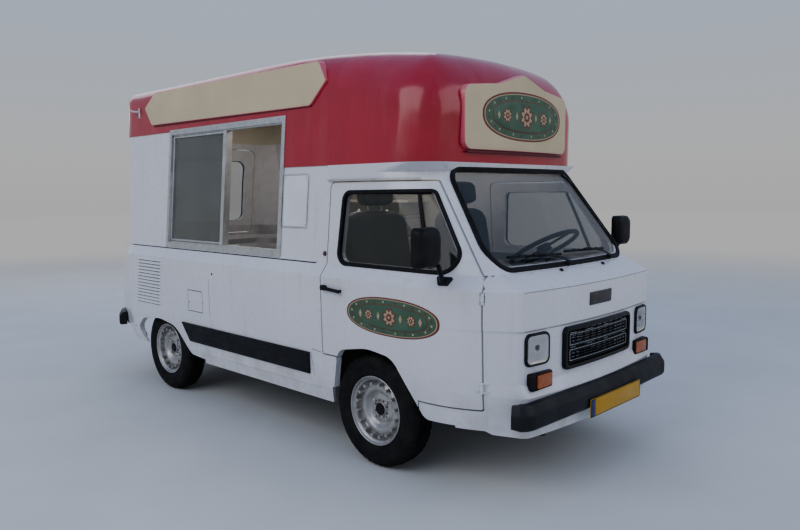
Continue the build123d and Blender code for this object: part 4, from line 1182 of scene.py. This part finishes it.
def ellipse(w, h, n=64, p=2.0):
    out = []
    for i in range(n):
        a = 2 * math.pi * i / n
        c, q = math.cos(a), math.sin(a)
        out.append((w * math.copysign(abs(c) ** (2 / p), c), h * math.copysign(abs(q) ** (2 / p), q)))
    return out


def petals(cx, cy, r, k, depth=0.35, n=96, turn=0.0):
    return [(cx + r * (1 - depth * (0.5 + 0.5 * math.cos(k * (2 * math.pi * i / n) + turn))) * math.cos(2 * math.pi * i / n),
             cy + r * (1 - depth * (0.5 + 0.5 * math.cos(k * (2 * math.pi * i / n) + turn))) * math.sin(2 * math.pi * i / n)) for i in range(n)]


def medallion(tag, place, w, h, body):
    """Plain oval panel with a rosette, side rosettes and a ring of small beads."""
    def layer(outline, z, t, fill=4):
        return board_rows(outline, place, [(0, z), (0, z + t * 0.6), (0.0004, z + t)], fill)

    br, iv, gr = Build(), Build(), Build()
    br.add(*layer(ellipse(w, h, 96, 2.3), 0.0, 0.0012, 7))
    iv.add(*layer(ellipse(w * 0.965, h * 0.93, 96, 2.3), 0.0010, 0.0008, 7))
    gr.add(*layer(ellipse(w * 0.945, h * 0.89, 96, 2.3), 0.0016, 0.0008, 7))
    br.add(*layer(ellipse(w * 0.80, h * 0.66, 96, 2.3), 0.0022, 0.0007, 6))
    gr.add(*layer(ellipse(w * 0.785, h * 0.62, 96, 2.3), 0.0027, 0.0007, 6))
    for cx, r in ((0, h * 0.52), (-w * 0.47, h * 0.32), (w * 0.47, h * 0.32)):
        br.add(*layer(petals(cx, 0, r, 8, 0.30), 0.0032, 0.0007, 3))
        iv.add(*layer(petals(cx, 0, r * 0.80, 8, 0.34), 0.0037, 0.0006, 3))
        br.add(*layer(petals(cx, 0, r * 0.42, 8, 0.2, turn=math.pi), 0.0042, 0.0006, 2))
        iv.add(*layer([(cx + r * 0.16 * math.cos(a), r * 0.16 * math.sin(a)) for a in [2 * math.pi * i / 20 for i in range(20)]], 0.0046, 0.0006, 2))
    for cx in (-w * 0.245, w * 0.245, -w * 0.66, w * 0.66):
        iv.add(*layer([(cx - 0.010, 0), (cx, -0.020), (cx + 0.010, 0), (cx, 0.020)], 0.0032, 0.0007, 2))
    for i in range(28):
        a = 2 * math.pi * (i + 0.5) / 28
        c, q = math.cos(a), math.sin(a)
        px, py = w * 0.872 * math.copysign(abs(c) ** (2 / 2.3), c), h * 0.775 * math.copysign(abs(q) ** (2 / 2.3), q)
        (iv if i % 2 else br).add(*layer([(px + 0.0055 * math.cos(t), py + 0.0055 * math.sin(t)) for t in [2 * math.pi * j / 12 for j in range(12)]], 0.0022, 0.0010, 2))
    br.make(f"medallion_brown_{tag}", brown, body, "sign_cream", 35)
    iv.make(f"medallion_ivory_{tag}", ivory, body, "sign_cream", 35)
    gr.make(f"medallion_green_{tag}", green, body, "sign_cream", 35)


medallion("front", lambda a, c, o_: fplace(0.022 + a, 1.668 + c, 0.0118 + o_), 0.335, 0.118, "body")
for s, nm in ((-1, "right"), (1, "left")):
    def dplace(a, c, o_, s=s):
        p, n = on_side(1.160 + a, 0.748 + c, s)
        return p + Vector((0, s, 0)) * (o_ + 0.0004)
    medallion(f"door_{nm}", dplace, 0.285, 0.088, f"door_{nm}")

# ------------------------------------------------------------- cab roof gutter
for s, nm in ((-1, "right"), (1, "left")):
    b = Build()
    path, norms = [], []
    for i in range(22):
        x = 0.672 + (1.225 - 0.672) * i / 21
        p, n = on_side(x, 1.3665, s)
        path.append(p)
        norms.append((n * Vector((1, 1, 0))).normalized())
    b.sweep(path, norms, [(-0.0030, -0.006), (-0.0045, 0.010), (-0.0035, 0.0125), (0.0045, 0.0125), (0.0060, 0.0105), (0.0045, 0.009), (-0.001, 0.0080), (-0.001, -0.006)], False)
    b.make(f"cab_gutter_{nm}", aluminium, "body", "frame_metal", 35)


# ----------------------------------------------------------------- side details


def strip(b, pts, s, w, t, lift=0.0):
    """Narrow flat strip on the side through points (x, z)."""
    path, norms = [], []
    for x, z in dense(pts, 0.03, False):
        p, n = on_side(x, z, s)
        path.append(p)
        norms.append(n)
    b.sweep(path, norms, [(-w, lift - 0.002), (-w, lift + t * 0.6), (-w * 0.5, lift + t), (w * 0.5, lift + t), (w, lift + t * 0.6), (w, lift - 0.002)], False)


dark, lips = Build(), Build()
for s in (-1, 1):
    # painted shadow: the long dark line just under the upper box lip stands for the shade its overhang casts; the
    # shorter strips are real seams
    strip(dark, [(-1.425, 0.9560), (0.600, 0.9560)], s, 0.0030, 0.0012)
    strip(lips, [(-1.430, 0.9655), (0.605, 0.9655)], s, 0.0065, 0.0048)
    strip(dark, [(-0.365, 0.800), (-0.365, 0.570)], s, 0.0010, 0.0005)
    strip(dark, [(0.600, 0.520), (0.668, 0.514)], s, 0.0012, 0.0005)
    strip(dark, [(0.585, 0.500), (0.600, 0.380)], s, 0.0008, 0.0005)
    strip(dark, [(-1.385, 0.390), (-1.342, 0.389)], s, 0.0012, 0.0006)
dark.make("side_seams_and_painted_shadow", rubber, "body", "black_plastic", 35)
lips.make("side_box_lip", paint, "body", "body_paint", 35)

for s, nm in ((-1, "right"), (1, "left")):
    bl, slit_shade = Build(), Build()
    for i in range(14):
        z = 0.871 - (0.871 - 0.584) * i / 13
        x0 = -1.265 - 0.057 * i / 13
        x1 = -0.927 - 0.038 * i / 13
        path, norms = [], []
        for j in range(15):
            p, n = on_side(x0 + (x1 - x0) * j / 14, z, s)
            path.append(p)
            norms.append(n)
        k = [0.25, 0.8] + [1.0] * 11 + [0.8, 0.25]
        up = 1 if norms[0].cross(path[1] - path[0]).z > 0 else -1
        base = len(bl.v)
        bl.sweep(path, norms, [(-0.0035 * up, -0.001), (-0.0045 * up, 0.0062), (-0.0028 * up, 0.0075), (0.0015 * up, 0.0062), (0.0085 * up, 0.0010), (0.0085 * up, -0.001)], False)
        for j in range(15):
            for q in range(6):
                v = bl.v[base + j * 6 + q]
                c = path[j] + (v - path[j]) * 1.0
                h = (v - path[j]).dot(norms[j])
                bl.v[base + j * 6 + q] = c - norms[j] * (h * (1 - k[j]) if h > 0 else 0)
        # painted shade: a black strip under each louvre lip stands for the shade inside the slot behind it
        slit_shade.sweep(path[1:-1], norms[1:-1], [(-0.0100 * up, -0.001), (-0.0100 * up, 0.0005), (-0.0036 * up, 0.0012), (-0.0036 * up, -0.001)], False)
    bl.make(f"louvres_{nm}", paint, "body", "body_paint", 50)
    slit_shade.make(f"louvre_slit_painted_shade_{nm}", rubber, "body", "black_plastic", 50)

# flap lock, plug, door-side lock, notice board
b = Build()
p, n = on_side(-0.598, 0.637)
b.lathe([(0, -0.001), (0.0080, -0.001), (0.0080, 0.0012), (0.0068, 0.0020), (0.0, 0.0020)], p, n, 24)
b.box(p + n * 0.0021, Vector((0.0006, 0, 0)), Vector((0, 0.0003, 0)), Vector((0, 0, 0.0035)))
b.make("flap_lock", chrome, "fuel_flap", "frame_metal", 35)
b = Build()
p, n = on_side(-0.323, 0.832)
b.lathe([(0, -0.001), (0.0065, -0.001), (0.0060, 0.0022), (0.003, 0.0032), (0, 0.0034)], p, n, 20)
b.make("side_plug", rubber, "body", "black_plastic", 35)
b = Build()
p, n = on_side(0.664, 1.006)
b.lathe([(0, -0.001), (0.0125, -0.001), (0.0125, 0.003), (0.0105, 0.0055), (0.0070, 0.0050), (0.0065, 0.0070), (0, 0.0074)], p, n, 28)
b.make("side_lock", lock_m, "body", "frame_metal", 35)
b = Build()


def board_place(a, c, o_):
    p, n = on_side(0.410 + a, 1.266 + c)
    return p + n * o_


out = dense(rounded([(-0.104, -0.139, 0.004), (0.104, -0.139, 0.004), (0.104, 0.139, 0.004), (-0.104, 0.139, 0.004)], 3), 0.02)
b.add(*board_rows(out, board_place, [(0, -0.001), (0, 0.0045), (0.0008, 0.0055)]))
b.make("notice_board_blank", board, "body", "body_paint", 35)
b = Build()
ring = dense(rounded([(-0.100, -0.135, 0.004), (0.100, -0.135, 0.004), (0.100, 0.135, 0.004), (-0.100, 0.135, 0.004)], 3), 0.02)
pts, nrm = [], []
for a_, c_ in ring:
    p, n = on_side(0.410 + a_, 1.266 + c_)
    pts.append(p + n * 0.0050)
    nrm.append(n)
b.sweep(pts, nrm, [(-0.004, -0.002), (-0.004, 0.0018), (-0.001, 0.0030), (0.002, 0.0030), (0.004, 0.0010), (0.004, -0.002)], True)
b.make("notice_board_frame", aluminium, "body", "frame_metal", 35)
b = Build()
for a_ in (-0.088, 0.088):
    for c_ in (-0.122, 0.122):
        p, n = on_side(0.410 + a_, 1.266 + c_)
        b.lathe([(0, 0.005), (0.0032, 0.005), (0.0028, 0.0070), (0, 0.0076)], p, n, 14)
b.make("notice_board_screws", chrome, "body", "frame_metal", 35)

# ribs and screws of the side mouldings
mt = {s: tree("side_mouldings") for s in (-1, 1)}
b = Build()
for s in (-1, 1):
    for z, xa, xb in ((0.482, -0.680, 0.566), (0.444, -0.655, 0.562), (0.404, -0.625, 0.558)):
        path, norms = [], []
        for i in range(36):
            p, n = cast(mt[s], (xa + (xb - xa) * i / 35, s * 1.2, z), (0, -s, 0))
            path.append(p)
            norms.append(Vector((0, s, 0)))
        b.sweep(path, norms, [(-0.0050, -0.003), (-0.0045, 0.0012), (-0.002, 0.0026), (0.002, 0.0026), (0.0045, 0.0012), (0.0050, -0.003)], False)
    for x in (-0.60, -0.40, -0.355, -0.05, 0.25, 0.53):
        p, n = cast(mt[s], (x, s * 1.2, 0.424), (0, -s, 0))
        b.lathe([(0, -0.001), (0.0052, -0.001), (0.0045, 0.0016), (0, 0.0024)], p, (0, s, 0), 16)
b.make("moulding_ribs", plastic, "body", "black_plastic", 35)

# sill beading under the mouldings
b = Build()
for s in (-1, 1):
    strip(b, [(-0.43, 0.3300), (0.64, 0.3300)], s, 0.0045, 0.0030)
b.make("sill_beading", paint, "body", "body_paint", 35)

# the corner between door, front panel and shoulder, closed just under the paint
for s, nm in ((-1, "right"), (1, "left")):
    b = Build()
    pts = [(1.5985, 0.594), (1.6205, 0.588), (1.6205, 0.6445), (1.5985, 0.6330)]
    vs = [Vector((x, s * y, 0.943 - 0.5 * (x - 1.624) - 0.775 * (y - 0.60) - d)) for d in (0.0008, 0.0040) for x, y in pts]
    fs = [(0, 1, 2, 3), (7, 6, 5, 4)] + [(i, i + 4, (i + 1) % 4 + 4, (i + 1) % 4) for i in range(4)]
    b.add(vs, fs if s < 0 else [f[::-1] for f in fs])
    b.make(f"corner_filler_{nm}", paint, "body", "body_paint", 30)

# lining of the sales room: the far upper wall and two shelves on brackets
lin = Build()
it = tree("upper_side_left")
yl = [it.ray_cast(Vector((-0.4, 0.3, z)), Vector((0, 1, 0)))[0].y - 0.004 for z in (1.000, 1.700)]
p0, p1 = Vector((-0.45, yl[0], 1.020)), Vector((-0.45, yl[1], 1.700))
dv = p1 - p0
lin.box((p0 + p1) / 2, (0.830, 0, 0), dv.normalized().cross(Vector((1, 0, 0))) * 0.003, dv / 2, 0.0015)
for z in (1.245, 1.470):
    yy = yl[0] + (yl[1] - yl[0]) * (z - 1.0) / 0.7
    lin.box((-0.45, yy - 0.105, z), (0.620, 0, 0), (0, 0.100, 0), (0, 0, 0.009), 0.004)
    for x in (-0.95, 0.05):
        lin.box((x, yy - 0.085, z - 0.050), (0.006, 0, 0), (0, 0.075, 0), (0, 0, 0.042), 0.002)
lin.make("sales_room_lining", lining, "body", "laminate", 35)
b = Build()
b.box((-0.16, 0.430, 1.075), (0.300, 0, 0), (0, 0.150, 0), (0, 0, 0.060), 0.012)
b.box((-0.16, 0.430, 1.143), (0.306, 0, 0), (0, 0.156, 0), (0, 0, 0.007), 0.004)
for x in (-0.30, -0.02):
    b.lathe([(0, 0), (0.060, 0), (0.062, 0.010), (0.056, 0.020), (0.020, 0.024), (0.010, 0.040), (0, 0.042)], (x, 0.430, 1.150), (0, 0, 1), 32)
b.make("tub_lids", aluminium, "body", "frame_metal", 35)

# ------------------------------------------------------- door handles, mirrors
for s, nm in ((-1, "right"), (1, "left")):
    b = Build()
    p0, n0 = on_side(0.7150, 0.8455, s)
    p1, n1 = on_side(0.8300, 0.8375, s)
    ax = (p1 - p0).normalized()
    upz = n0.cross(ax)
    if upz.z < 0:
        upz = -upz
    b.box((p0 + p1) / 2 + n0 * 0.018 + ax * 0.004, ax * 0.066, n0 * 0.0060, upz * 0.0085, 0.005)
    b.box(p0 + n0 * 0.010, ax * 0.017, n0 * 0.012, upz * 0.0125, 0.006)
    b.box(p1 + n0 * 0.010, ax * 0.008, n0 * 0.012, upz * 0.0065, 0.004)
    b.lathe([(0, 0.020), (0.0085, 0.020), (0.0080, 0.0225), (0, 0.0230)], p0, n0, 24)
    b.make(f"door_handle_{nm}", plastic, f"door_{nm}", "black_plastic", 35)

    lo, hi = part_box(f"mirror_{nm}")
    yc, zc = s * 0.834, 1.0825
    b = Build()
    rows = []
    for x, w, h, r in ((1.4405, 0.0560, 0.0700, 0.014), (1.4402, 0.0640, 0.0780, 0.020), (1.4425, 0.0683, 0.0818, 0.023), (1.4600, 0.0690, 0.0825, 0.026), (1.4820, 0.0655, 0.0795, 0.030), (1.4950, 0.0560, 0.0700, 0.032), (1.4990, 0.0420, 0.0560, 0.030), (1.5000, 0.0200, 0.0300, 0.019)):
        rows.append([Vector((x, yc + a, zc + c)) for a, c in rounded([(-w, -h, r), (w, -h, r), (w, h, r), (-w, h, r)], 8)])
    rows_mesh(b, rows)
    elbow = [Vector((1.4800, s * 0.786, 1.026)), Vector((1.4790, s * 0.777, 1.006)), Vector((1.4745, s * 0.762, 0.985)), Vector((1.4670, s * 0.745, 0.963)), Vector((1.4590, s * 0.731, 0.945)), Vector((1.4520, s * 0.722, 0.934))]
    b.tube(elbow, 0.0105, 14)
    fp, fn = on_side(1.447, 0.9305, s)
    fu = (Vector((0, 0, 1)) - fn * fn.z).normalized()
    fa = fn.cross(fu)
    rows = []
    for o_, w, h in ((-0.002, 0.040, 0.021), (0.007, 0.040, 0.021), (0.013, 0.034, 0.017), (0.017, 0.022, 0.012)):
        rows.append([fp + fn * o_ + fa * a + fu * c for a, c in rounded([(-w * 0.55, -h, 0.006), (w * 0.55, -h, 0.006), (w, h, 0.006), (-w, h, 0.006)], 6)])
    rows_mesh(b, rows)
    o = b.make(f"mirror_housing_{nm}", plastic, f"door_{nm}", "black_plastic", 35)
    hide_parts(f"mirror_{nm}")
    b = Build()
    rows = [[Vector((x, yc + a, zc + c)) for a, c in rounded([(-w, -h, r), (w, -h, r), (w, h, r), (-w, h, r)], 8)] for x, w, h, r in ((1.4410, 0.0585, 0.0725, 0.016), (1.4400, 0.0585, 0.0725, 0.016), (1.43985, 0.0300, 0.0400, 0.012))]
    rows_mesh(b, rows)
    b.make(f"mirror_glass_{nm}", mirror_m, f"door_{nm}", "window_glass", 35)

# --------------------------------------------------------------------- wipers
b = Build()
bb = Build()
for y0, y1 in ((-0.060, -0.480), (0.360, -0.060)):
    pts, nr = [], []
    ym = (y0 + y1) / 2
    p0, n0 = on_front(y0, 0.9715)
    piv = p0 + n0 * 0.004
    b.lathe([(0, -0.004), (0.015, -0.004), (0.014, 0.008), (0.010, 0.014), (0.008, 0.018), (0, 0.019)], piv, n0, 20)
    blade_path, bn = [], []
    for i in range(15):
        y = ym + 0.19 - 0.38 * i / 14
        p, n = on_front(y, 1.0050 + 0.010 * i / 14)
        blade_path.append(p + n * 0.021)
        bn.append(n)
    bb.sweep(blade_path, bn, [(-0.0012, -0.0115), (-0.0035, -0.004), (-0.0060, 0.000), (-0.0030, 0.0028), (0.0030, 0.0028), (0.0060, 0.000), (0.0035, -0.004), (0.0012, -0.0115)], False)
    mid = blade_path[7]
    a0, a1 = piv + n0 * 0.014, mid + bn[7] * 0.0085
    arm = [a0 + (a1 - a0) * t + n0 * (0.016 * math.sin(math.pi * t)) for t in [i / 10 for i in range(11)]]
    b.sweep(arm, [n0] * 11, [(-0.0062, -0.0025), (-0.0055, 0.0022), (0.0055, 0.0022), (0.0062, -0.0025)], False)
    b.box(mid + bn[7] * 0.0065, (blade_path[9] - blade_path[5]).normalized() * 0.024, bn[7] * 0.0035, (blade_path[9] - blade_path[5]).normalized().cross(bn[7]) * 0.0055, 0.0015)
    for e in (3, 11):
        b.box(blade_path[e] + bn[e] * 0.0030, (blade_path[9] - blade_path[5]).normalized() * 0.010, bn[e] * 0.0022, (blade_path[9] - blade_path[5]).normalized().cross(bn[e]) * 0.0065, 0.001)
for y in (-0.155, 0.235):
    p, n = on_front(y, 0.9490)
    b.lathe([(0, -0.003), (0.0100, -0.003), (0.0095, 0.004), (0.0060, 0.0085), (0, 0.0095)], p, n, 18)
o = b.make("wiper_arms", plastic, "body", "wiper_black", 35)
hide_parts("wipers")
bb.make("wiper_blades", rubber, "body", "wiper_black", 35)

# ----------------------------------------------------------- creases of panels
b = Build()


def nose_strip(z, w, t, y0=-0.556, y1=0.556):
    path, norms = [], []
    for i in range(41):
        p, n = on_front(y0 + (y1 - y0) * i / 40, z)
        path.append(p)
        norms.append(n)
    b.sweep(path, norms, [(-w, -0.002), (-w, t * 0.6), (0, t), (w, t * 0.6), (w, -0.002)], False)


# painted shadow: thin dark lines along the two nose creases stand for the shade where the upper panel steps over the
# lower
nose_strip(0.7315, 0.0016, 0.0005)
nose_strip(0.8935, 0.0014, 0.0004)
b.make("nose_crease_shadow", basic("crease_painted_shadow", (0.20, 0.19, 0.18), (0.30, 0.285, 0.27), 0.6, 0.8, 20.0), "body", "body_paint", 35)

# ------------------------------------------------------------------- tail end
b = Build()
lens_r, lens_o, lens_w = Build(), Build(), Build()
for s in (-1, 1):
    pts0 = on_rear(s * 0.520, 0.680)[0]
    x0 = min(pts0.x, -1.775)
    ctr = Vector((x0, s * 0.520, 0.680))
    fr = (ctr, Vector((0, 1, 0)), Vector((0, 0, 1)), Vector((-1, 0, 0)))
    d = 1.799 + x0
    rows_mesh(b, [ring_pts(fr, 0.045, 0.120, 0.010, -0.035)] + [ring_pts(fr, 0.045, 0.120, 0.010, max(d - 0.009, 0.002)), ring_pts(fr, 0.042, 0.117, 0.010, max(d - 0.006, 0.004))])
    for bld, zc, h in ((lens_o, 0.080, 0.033), (lens_r, 0.003, 0.041), (lens_w, -0.078, 0.035)):
        fr2 = (ctr + Vector((0, 0, zc)), Vector((0, 1, 0)), Vector((0, 0, 1)), Vector((-1, 0, 0)))
        rows_mesh(bld, [ring_pts(fr2, 0.040, h, 0.006, max(d - 0.008, 0.002)), ring_pts(fr2, 0.040, h, 0.006, max(d - 0.002, 0.006)), ring_pts(fr2, 0.038, h - 0.002, 0.006, max(d, 0.008)), ring_pts(fr2, 0.020, h * 0.5, 0.006, max(d, 0.008) + 0.0006)])
        for k in range(-3, 4):
            bld.box(fr2[0] + Vector((-max(d, 0.008) - 0.0004, 0.0095 * k, 0)), (0, 0.0008, 0), (0, 0, h - 0.006), (0.0008, 0, 0))
o = b.make("tail_lamp_bodies", plastic, "body", "black_plastic", 35)
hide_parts("tail_lights")
lens_r.make("tail_lens_red", lens_red, "body", "lamp_red", 35)
lens_o.make("tail_lens_amber", orange, "body", "lamp_red", 35)
lens_w.make("tail_lens_clear", lens_white, "body", "lamp_glass", 35)
b = Build()
p, n = on_rear(0.0, 1.025)
b.box(p + n * 0.010, (0, 0.060, 0), n * 0.010, (0, 0, 0.013), 0.005)
b.lathe([(0, 0.018), (0.009, 0.018), (0.0085, 0.0225), (0, 0.023)], p + Vector((0, 0.042, 0)), n, 20)
b.make("tailgate_handle", plastic, "tailgate", "black_plastic", 35)
b = Build()
p, n = on_rear(0.0, 0.548)
b.box(p + n * 0.006, (0, 0.035, 0), n * 0.008, (0, 0, 0.010), 0.004)
b.make("engine_lid_catch", plastic, "engine_lid", "black_plastic", 35)
bl, slit_shade = Build(), Build()
for i in range(8):
    z = 0.800 - 0.022 * i
    path = [on_rear(-0.30 + 0.60 * j / 20, z) for j in range(21)]
    pp, nn = [q[0] for q in path], [q[1] for q in path]
    up = 1 if nn[0].cross(pp[1] - pp[0]).z > 0 else -1
    bl.sweep(pp, nn, [(-0.0035 * up, -0.001), (-0.0045 * up, 0.0058), (-0.0028 * up, 0.0070), (0.0015 * up, 0.0058), (0.0085 * up, 0.0010), (0.0085 * up, -0.001)], False)
    # painted shade: a black strip under each louvre lip stands for the shade inside the slot behind it
    slit_shade.sweep(pp[1:-1], nn[1:-1], [(-0.0100 * up, -0.001), (-0.0100 * up, 0.0005), (-0.0036 * up, 0.0012), (-0.0036 * up, -0.001)], False)
bl.make("engine_lid_louvres", paint, "engine_lid", "body_paint", 50)
slit_shade.make("engine_lid_slit_painted_shade", rubber, "engine_lid", "black_plastic", 50)
b = Build()
for y in (-0.10, 0.10):
    b.box(Vector((-1.8050, y, 0.5240)), (0.010, 0, 0), (0, 0.022, 0), (0, 0, 0.008), 0.003)
b.make("plate_lamps", plastic, "body", "black_plastic", 35)

# -------------------------------------------------------------- serving hatch
ft = tree("hatch_frame")
b = Build()
for x in [-0.86 + 0.1225 * i for i in range(10)]:
    for z in (1.700, 0.9795):
        p, n, _, _ = ft.ray_cast(Vector((x, -1.2, z)), Vector((0, 1, 0)))
        if p is not None:
            b.lathe([(0, -0.001), (0.0040, -0.001), (0.0036, 0.0016), (0, 0.0024)], p, (0, -1, 0), 12)
for z in [1.02 + 0.13 * i for i in range(6)]:
    for x in (-0.919, 0.287):
        p, n, _, _ = ft.ray_cast(Vector((x, -1.2, z)), Vector((0, 1, 0)))
        if p is not None:
            b.lathe([(0, -0.001), (0.0040, -0.001), (0.0036, 0.0016), (0, 0.0024)], p, (0, -1, 0), 12)
b.make("hatch_frame_screws", chrome, "body", "frame_metal", 35)
b = Build()


ys = {}
for z in (0.985, 1.680):
    q, _, _, _ = ft.ray_cast(Vector((-0.919, -1.2, max(1.01, min(1.67, z)))), Vector((0, 1, 0)))
    ys[z] = q.y + 0.003


def wall_y(z):
    return ys[0.985] + (ys[1.680] - ys[0.985]) * (z - 0.985) / 0.695


for x, hw in ((-0.889, 0.006), (-0.304, 0.006)):
    p0, p1 = Vector((x, wall_y(1.010) + 0.013, 1.010)), Vector((x, wall_y(1.668) + 0.013, 1.668))
    m_, dd = (p0 + p1) / 2, (p1 - p0)
    b.box(m_, (hw, 0, 0), dd.normalized().cross(Vector((1, 0, 0))) * 0.007, dd / 2, 0.0015)
for z in (1.0125, 1.6660):
    b.box((-0.5965, wall_y(z) + 0.013, z), (0.296, 0, 0), (0, 0.007, 0), (0, 0, 0.006), 0.0015)
b.make("hatch_sash_bars", aluminium, "body", "frame_metal", 35)

# --------------------------------------------------------------------- inside


def cushion(name, outline, y0, y1, crown, body="body"):
    """Seat pad lofted across its width: sides pull in between corners, top crowned, two sewn channels."""
    n_y = 37
    base = dense(rounded(outline, 6), 0.025)
    ca = sum(p[0] for p in base) / len(base)
    cb = sum(p[1] for p in base) / len(base)
    rows = []
    for i in range(n_y):
        t = i / (n_y - 1)
        u = 2 * t - 1
        edge = (1 - abs(u) ** 6) ** 0.5 if abs(u) < 1 else 0.0
        k = 0.60 + 0.40 * edge
        swell = crown * (1 - u * u)
        chan = 0.0
        for c in (-0.36, 0.36):
            chan += 0.006 * math.exp(-((u - c) / 0.035) ** 2)
        row = []
        for a, c in base:
            da, db = a - ca, c - cb
            l_ = math.hypot(da, db) or 1
            kk = k + (swell - chan) / l_ * 0.55
            row.append(Vector((ca + da * kk, y0 + (y1 - y0) * t, cb + db * kk)))
        rows.append(row)
    b = Build()
    rows_mesh(b, rows)
    o = b.make(name, vinyl, body, "seat_vinyl", 50)
    sub = o.modifiers.new("sub", "SUBSURF")
    sub.levels = 1
    sub.render_levels = 1
    return o


for s, nm in ((-1, "right"), (1, "left")):
    y0, y1 = sorted((s * 0.140, s * 0.580))
    c = cushion(f"seat_cushion_{nm}", [(0.795, 0.666, 0.030), (1.236, 0.684, 0.038), (1.244, 0.762, 0.038), (0.805, 0.754, 0.030)], y0, y1, 0.012)
    if s < 0:
        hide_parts("cab_seats")
    cushion(f"seat_back_{nm}", [(0.696, 0.746, 0.030), (0.784, 0.746, 0.022), (0.702, 1.208, 0.036), (0.626, 1.196, 0.036)], y0, y1, 0.012)
    cushion(f"seat_headrest_{nm}", [(0.656, 1.238, 0.024), (0.716, 1.243, 0.024), (0.697, 1.366, 0.028), (0.643, 1.361, 0.028)], y0 + 0.105, y1 - 0.105, 0.008)
    b = Build()
    for e in (-0.05, 0.05):
        b.tube([Vector((0.672, s * 0.36 + e, 1.190)), Vector((0.676, s * 0.36 + e, 1.222)), Vector((0.679, s * 0.36 + e, 1.250))], 0.0055, 12)
    b.make(f"headrest_stalks_{nm}", chrome, "body", "frame_metal", 35)
    b = Build()
    for yy in (y0 + 0.010, y1 - 0.010):
        b.tube([Vector((0.815 + 0.045 * i, yy, 0.752 + 0.0010 * i)) for i in range(9)], 0.0035, 8)
    b.make(f"seat_piping_{nm}", plastic, "body", "seat_vinyl", 35)

b = Build()
b.box((1.560, 0.340, 0.930), (0.050, 0, 0), (0, 0.150, 0), (0, 0, 0.028), 0.014)
b.box((1.500, 0.0, 0.880), (0.008, 0, 0), (0, 0.120, 0), (0, 0, 0.020), 0.004)
b.make("instrument_binnacle", plastic, "body", "black_plastic", 35)
